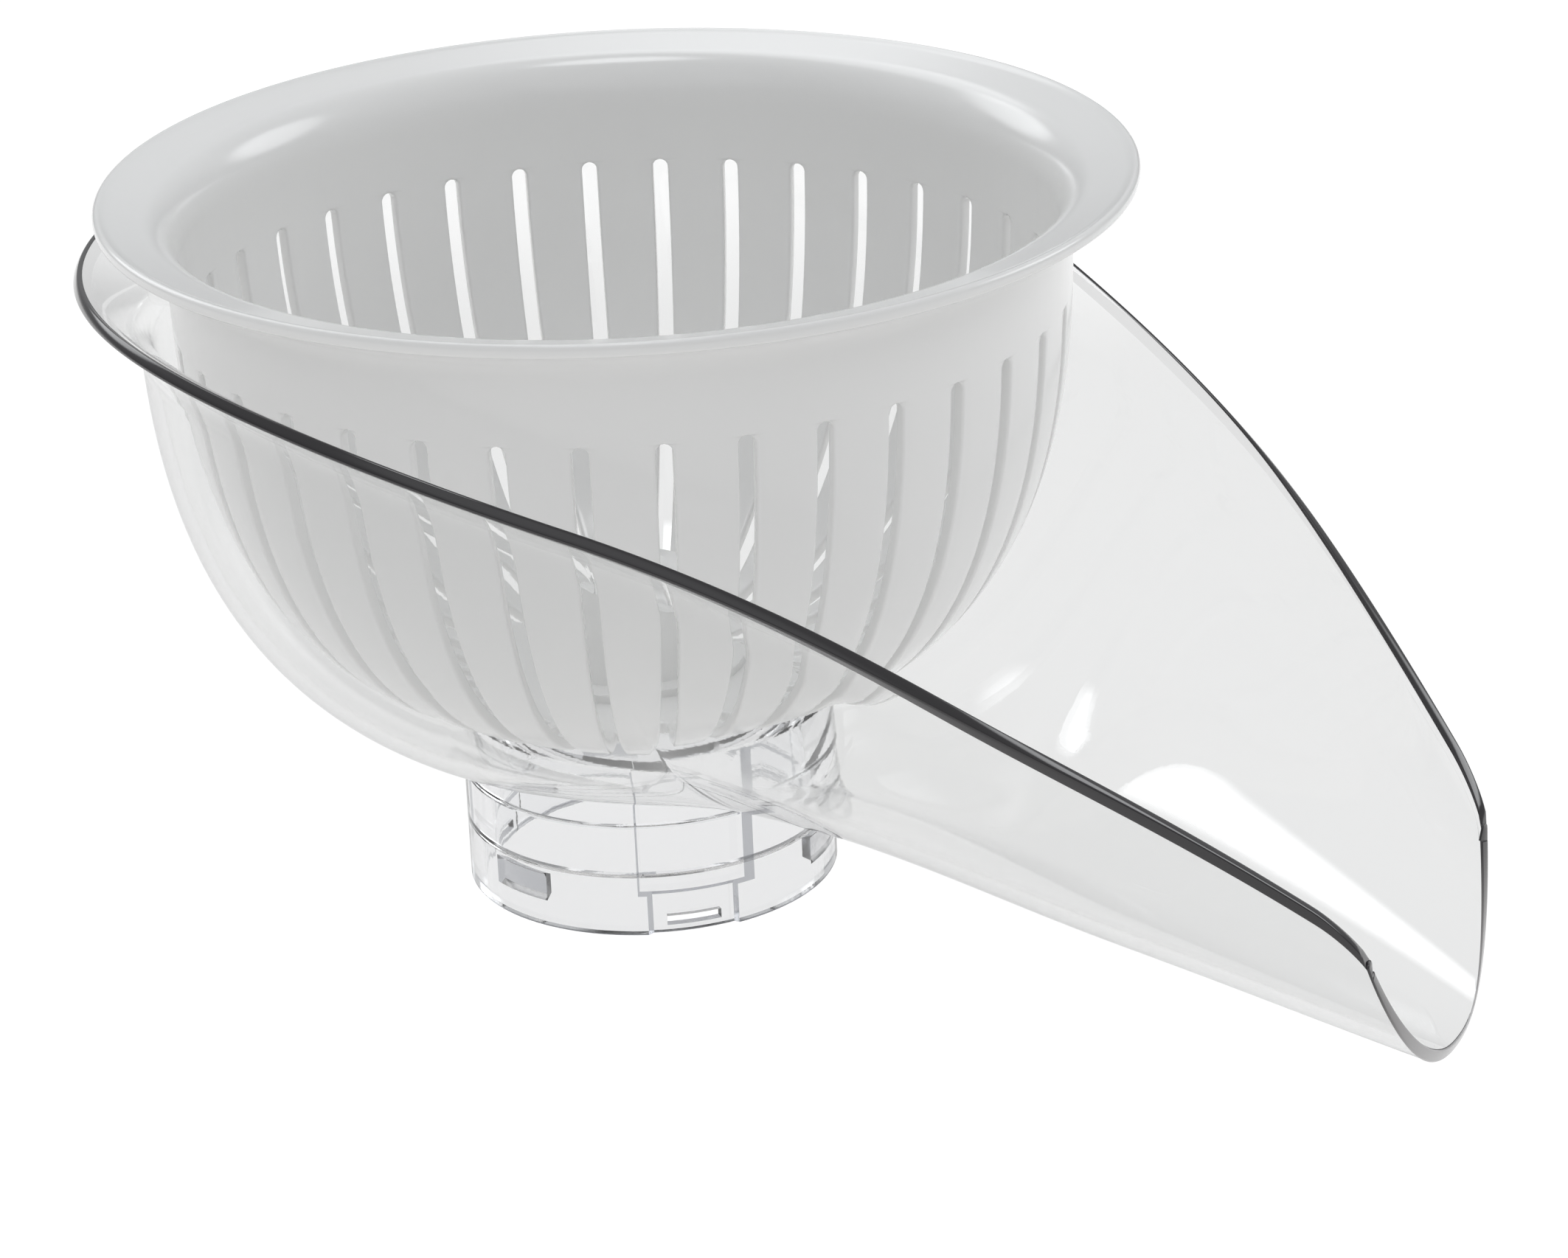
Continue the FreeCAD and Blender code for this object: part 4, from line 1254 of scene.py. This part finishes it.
@dataclass
class Studio:
    """Floor, light and camera round the spinner; lengths in metres, angles in degrees."""

    azimuth: float = 26.734
    elevation: float = 22.405
    roll: float = -2.544
    distance: float = 1.20288
    shift_right: float = -0.03844
    shift_up: float = 0.10491
    lens: float = 120.356
    sensor: float = 36.0
    target_level: float = 0.1729
    foot_radius: float = 0.0443
    lip_reach: float = 0.2035
    lip_level: float = -0.0146
    # each soft box: its direction, the cosines at its outer and inner edge, and its strength
    soft_boxes: tuple[tuple[tuple[float, float, float], float, float, float], ...] = (
        ((-0.50, 0.42, 0.76), 0.93, 0.975, 1.6),
        ((0.0, -0.03, 1.0), 0.979, 0.994, 4.2),
        ((0.75, 0.75, 0.55), 0.95, 0.985, 3.0),
        ((-0.85, 0.25, 0.45), 0.95, 0.985, 2.2),
        ((0.25, -0.75, 0.60), 0.80, 0.97, 0.35),
    )

    def floor(self) -> bpy.types.Object:
        """Lay a pale floor that the spout's lip and the far edge of the foot both touch.

        Returns:
            The floor.
        """
        span = self.lip_reach + self.foot_radius
        slope = self.lip_level / span
        reach, cuts = 7.0, 24
        points = []
        clear = 0.0003
        for i in range(cuts + 1):
            for j in range(cuts + 1):
                x = reach * (2 * i / cuts - 1)
                y = reach * (2 * j / cuts - 1)
                points.append((x, y, (x + self.foot_radius) * slope - clear))
        faces = grid_faces(cuts + 1, cuts + 1, flip=True)
        mesh = bpy.data.meshes.new("floor")
        mesh.from_pydata(points, [], faces)
        material = bpy.data.materials.new("pale_floor")
        material.use_nodes = True
        nodes, links = material.node_tree.nodes, material.node_tree.links
        shader = nodes["Principled BSDF"]
        shader.inputs["Base Color"].default_value = (0.14, 0.14, 0.14, 1.0)
        shader.inputs["Roughness"].default_value = 0.9
        shader.inputs["Specular IOR Level"].default_value = 0.0
        shader.inputs["Emission Strength"].default_value = 1.0
        coords = nodes.new("ShaderNodeTexCoord")
        away = nodes.new("ShaderNodeVectorMath")
        away.operation = "LENGTH"
        fade = eased_range(nodes, (0.9, 2.4), (0.78, 0.22))
        path = nodes.new("ShaderNodeLightPath")
        seen = nodes.new("ShaderNodeMix")
        seen.data_type = "RGBA"
        seen.inputs["B"].default_value = (0.94, 0.94, 0.94, 1.0)
        near = eased_range(nodes, (0.36, 0.52), (1.0, 1.2))
        level = nodes.new("ShaderNodeMath")
        level.operation = "MULTIPLY"
        connect(
            links, (coords, "Object", away, 0), (away, "Value", fade, "Value"),
            (away, "Value", near, "Value"), (fade, "Result", level, 0),
            (near, "Result", level, 1), (path, "Is Camera Ray", seen, "Factor"),
            (level, "Value", seen, "A"), (seen, "Result", shader, "Emission Color"),
        )
        mesh.materials.append(material)
        floor = bpy.data.objects.new("floor", mesh)
        bpy.context.scene.collection.objects.link(floor)
        return floor

    def sky(self) -> None:
        """Even studio light from above with the soft boxes in it."""
        world = bpy.data.worlds.new("studio")
        bpy.context.scene.world = world
        world.use_nodes = True
        nodes, links = world.node_tree.nodes, world.node_tree.links
        background = nodes["Background"]
        coords = nodes.new("ShaderNodeTexCoord")
        total = None
        for direction, outer, inner, strength in self.soft_boxes:
            dot = nodes.new("ShaderNodeVectorMath")
            dot.operation = "DOT_PRODUCT"
            dot.inputs[1].default_value = Vector(direction).normalized()
            links.new(coords.outputs["Generated"], dot.inputs[0])
            soft = eased_range(nodes, (outer, inner), (0.0, strength))
            links.new(dot.outputs["Value"], soft.inputs["Value"])
            if total is None:
                total = soft.outputs["Result"]
            else:
                add = nodes.new("ShaderNodeMath")
                links.new(total, add.inputs[0])
                links.new(soft.outputs["Result"], add.inputs[1])
                total = add.outputs["Value"]
        split = nodes.new("ShaderNodeSeparateXYZ")
        links.new(coords.outputs["Generated"], split.inputs["Vector"])
        dome = eased_range(nodes, (0.0, 0.5), (0.30, 0.55))
        links.new(split.outputs["Z"], dome.inputs["Value"])
        base = nodes.new("ShaderNodeMath")
        links.new(total, base.inputs[0])
        links.new(dome.outputs["Result"], base.inputs[1])
        path = nodes.new("ShaderNodeLightPath")
        seen = nodes.new("ShaderNodeMix")
        seen.inputs["B"].default_value = 1.02
        connect(
            links, (path, "Is Camera Ray", seen, "Factor"), (base, "Value", seen, "A"),
            (seen, "Result", background, "Strength"),
        )
        background.inputs["Color"].default_value = (0.97, 0.985, 1.0, 1.0)

    def camera(self) -> bpy.types.Object:
        """Place the camera by its angles, distance, roll and lens.

        Returns:
            The new camera, which is also the scene's own.
        """
        turn, lift, roll = (math.radians(a) for a in (self.azimuth, self.elevation, self.roll))
        right = Vector((math.cos(turn), math.sin(turn), 0))
        away = Vector((-math.sin(turn), math.cos(turn), 0))
        back = -away * math.cos(lift) + Vector((0, 0, math.sin(lift)))
        up = back.cross(right)
        tilted_right = right * math.cos(roll) + up * math.sin(roll)
        tilted_up = up * math.cos(roll) - right * math.sin(roll)
        target = Vector((0, 0, self.target_level))
        place = (target + back * self.distance - tilted_right * self.shift_right
                 - tilted_up * self.shift_up)
        data = bpy.data.cameras.new("camera")
        data.lens = self.lens
        data.sensor_width = self.sensor
        data.sensor_fit = "HORIZONTAL"
        data.clip_start, data.clip_end = 0.02, 60.0
        camera = bpy.data.objects.new("camera", data)
        axes = Matrix((tilted_right, tilted_up, back)).transposed()
        camera.matrix_world = Matrix.Translation(place) @ axes.to_4x4()
        bpy.context.scene.collection.objects.link(camera)
        bpy.context.scene.camera = camera
        return camera


# ---------------------------------------------------------------- assembly


@dataclass
class RunningGear:
    """The CAD pieces that are shown as they are, by the finish each one wears."""

    frame: dict
    finishes: dict[str, bpy.types.Material] = field(default_factory=dict)

    def dress(self) -> None:
        """Give every carried-over node its finish."""
        for node, material in self.finishes.items():
            piece = self.frame["nodes"][node]
            if piece.material_slots:
                piece.material_slots[0].material = material
            else:
                piece.data.materials.append(material)
            log.info("%-18s wears %s", node, material.name)


def main() -> None:
    """Build the spinner round the frame, piece by piece."""
    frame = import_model()
    bpy.context.scene.view_settings.view_transform = "Standard"
    group = moulding_group()
    clear, collar_clear = CLEAR.build(group), CLEAR_COLLAR.build(group)
    white, acetal = WHITE.build(group), ACETAL.build(group)
    steel, rubber = STEEL.build(group), RUBBER.build(group)

    bowl = PouringBowl(painted_dark_edge(group), clear).build()
    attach(bowl, Body.BOWL.value)
    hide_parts("pouring_bowl")

    collar = FootCollar(collar_clear, CLEAR_CORNER_PAINTED_SHADE.build(group)).build()
    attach(collar, Body.BOWL.value)
    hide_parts("foot_collar")

    basket = Basket(white).build()
    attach(basket, Body.BASKET_SET.value)
    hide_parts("basket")

    RunningGear(frame, {
        "basket_hub": white, "hub_cap": white, "drive_socket": acetal, "bearing_bush": acetal,
        "drive_dog": acetal, "drive_coupling": acetal, "shaft_seal": rubber, "spindle": steel,
        "upper_washer": steel, "lower_washer": steel, "drive_pin": steel, "retaining_clip": steel,
    }).dress()

    studio = Studio()
    studio.floor()
    studio.sky()
    studio.camera()


if __name__ == "__main__":
    main()
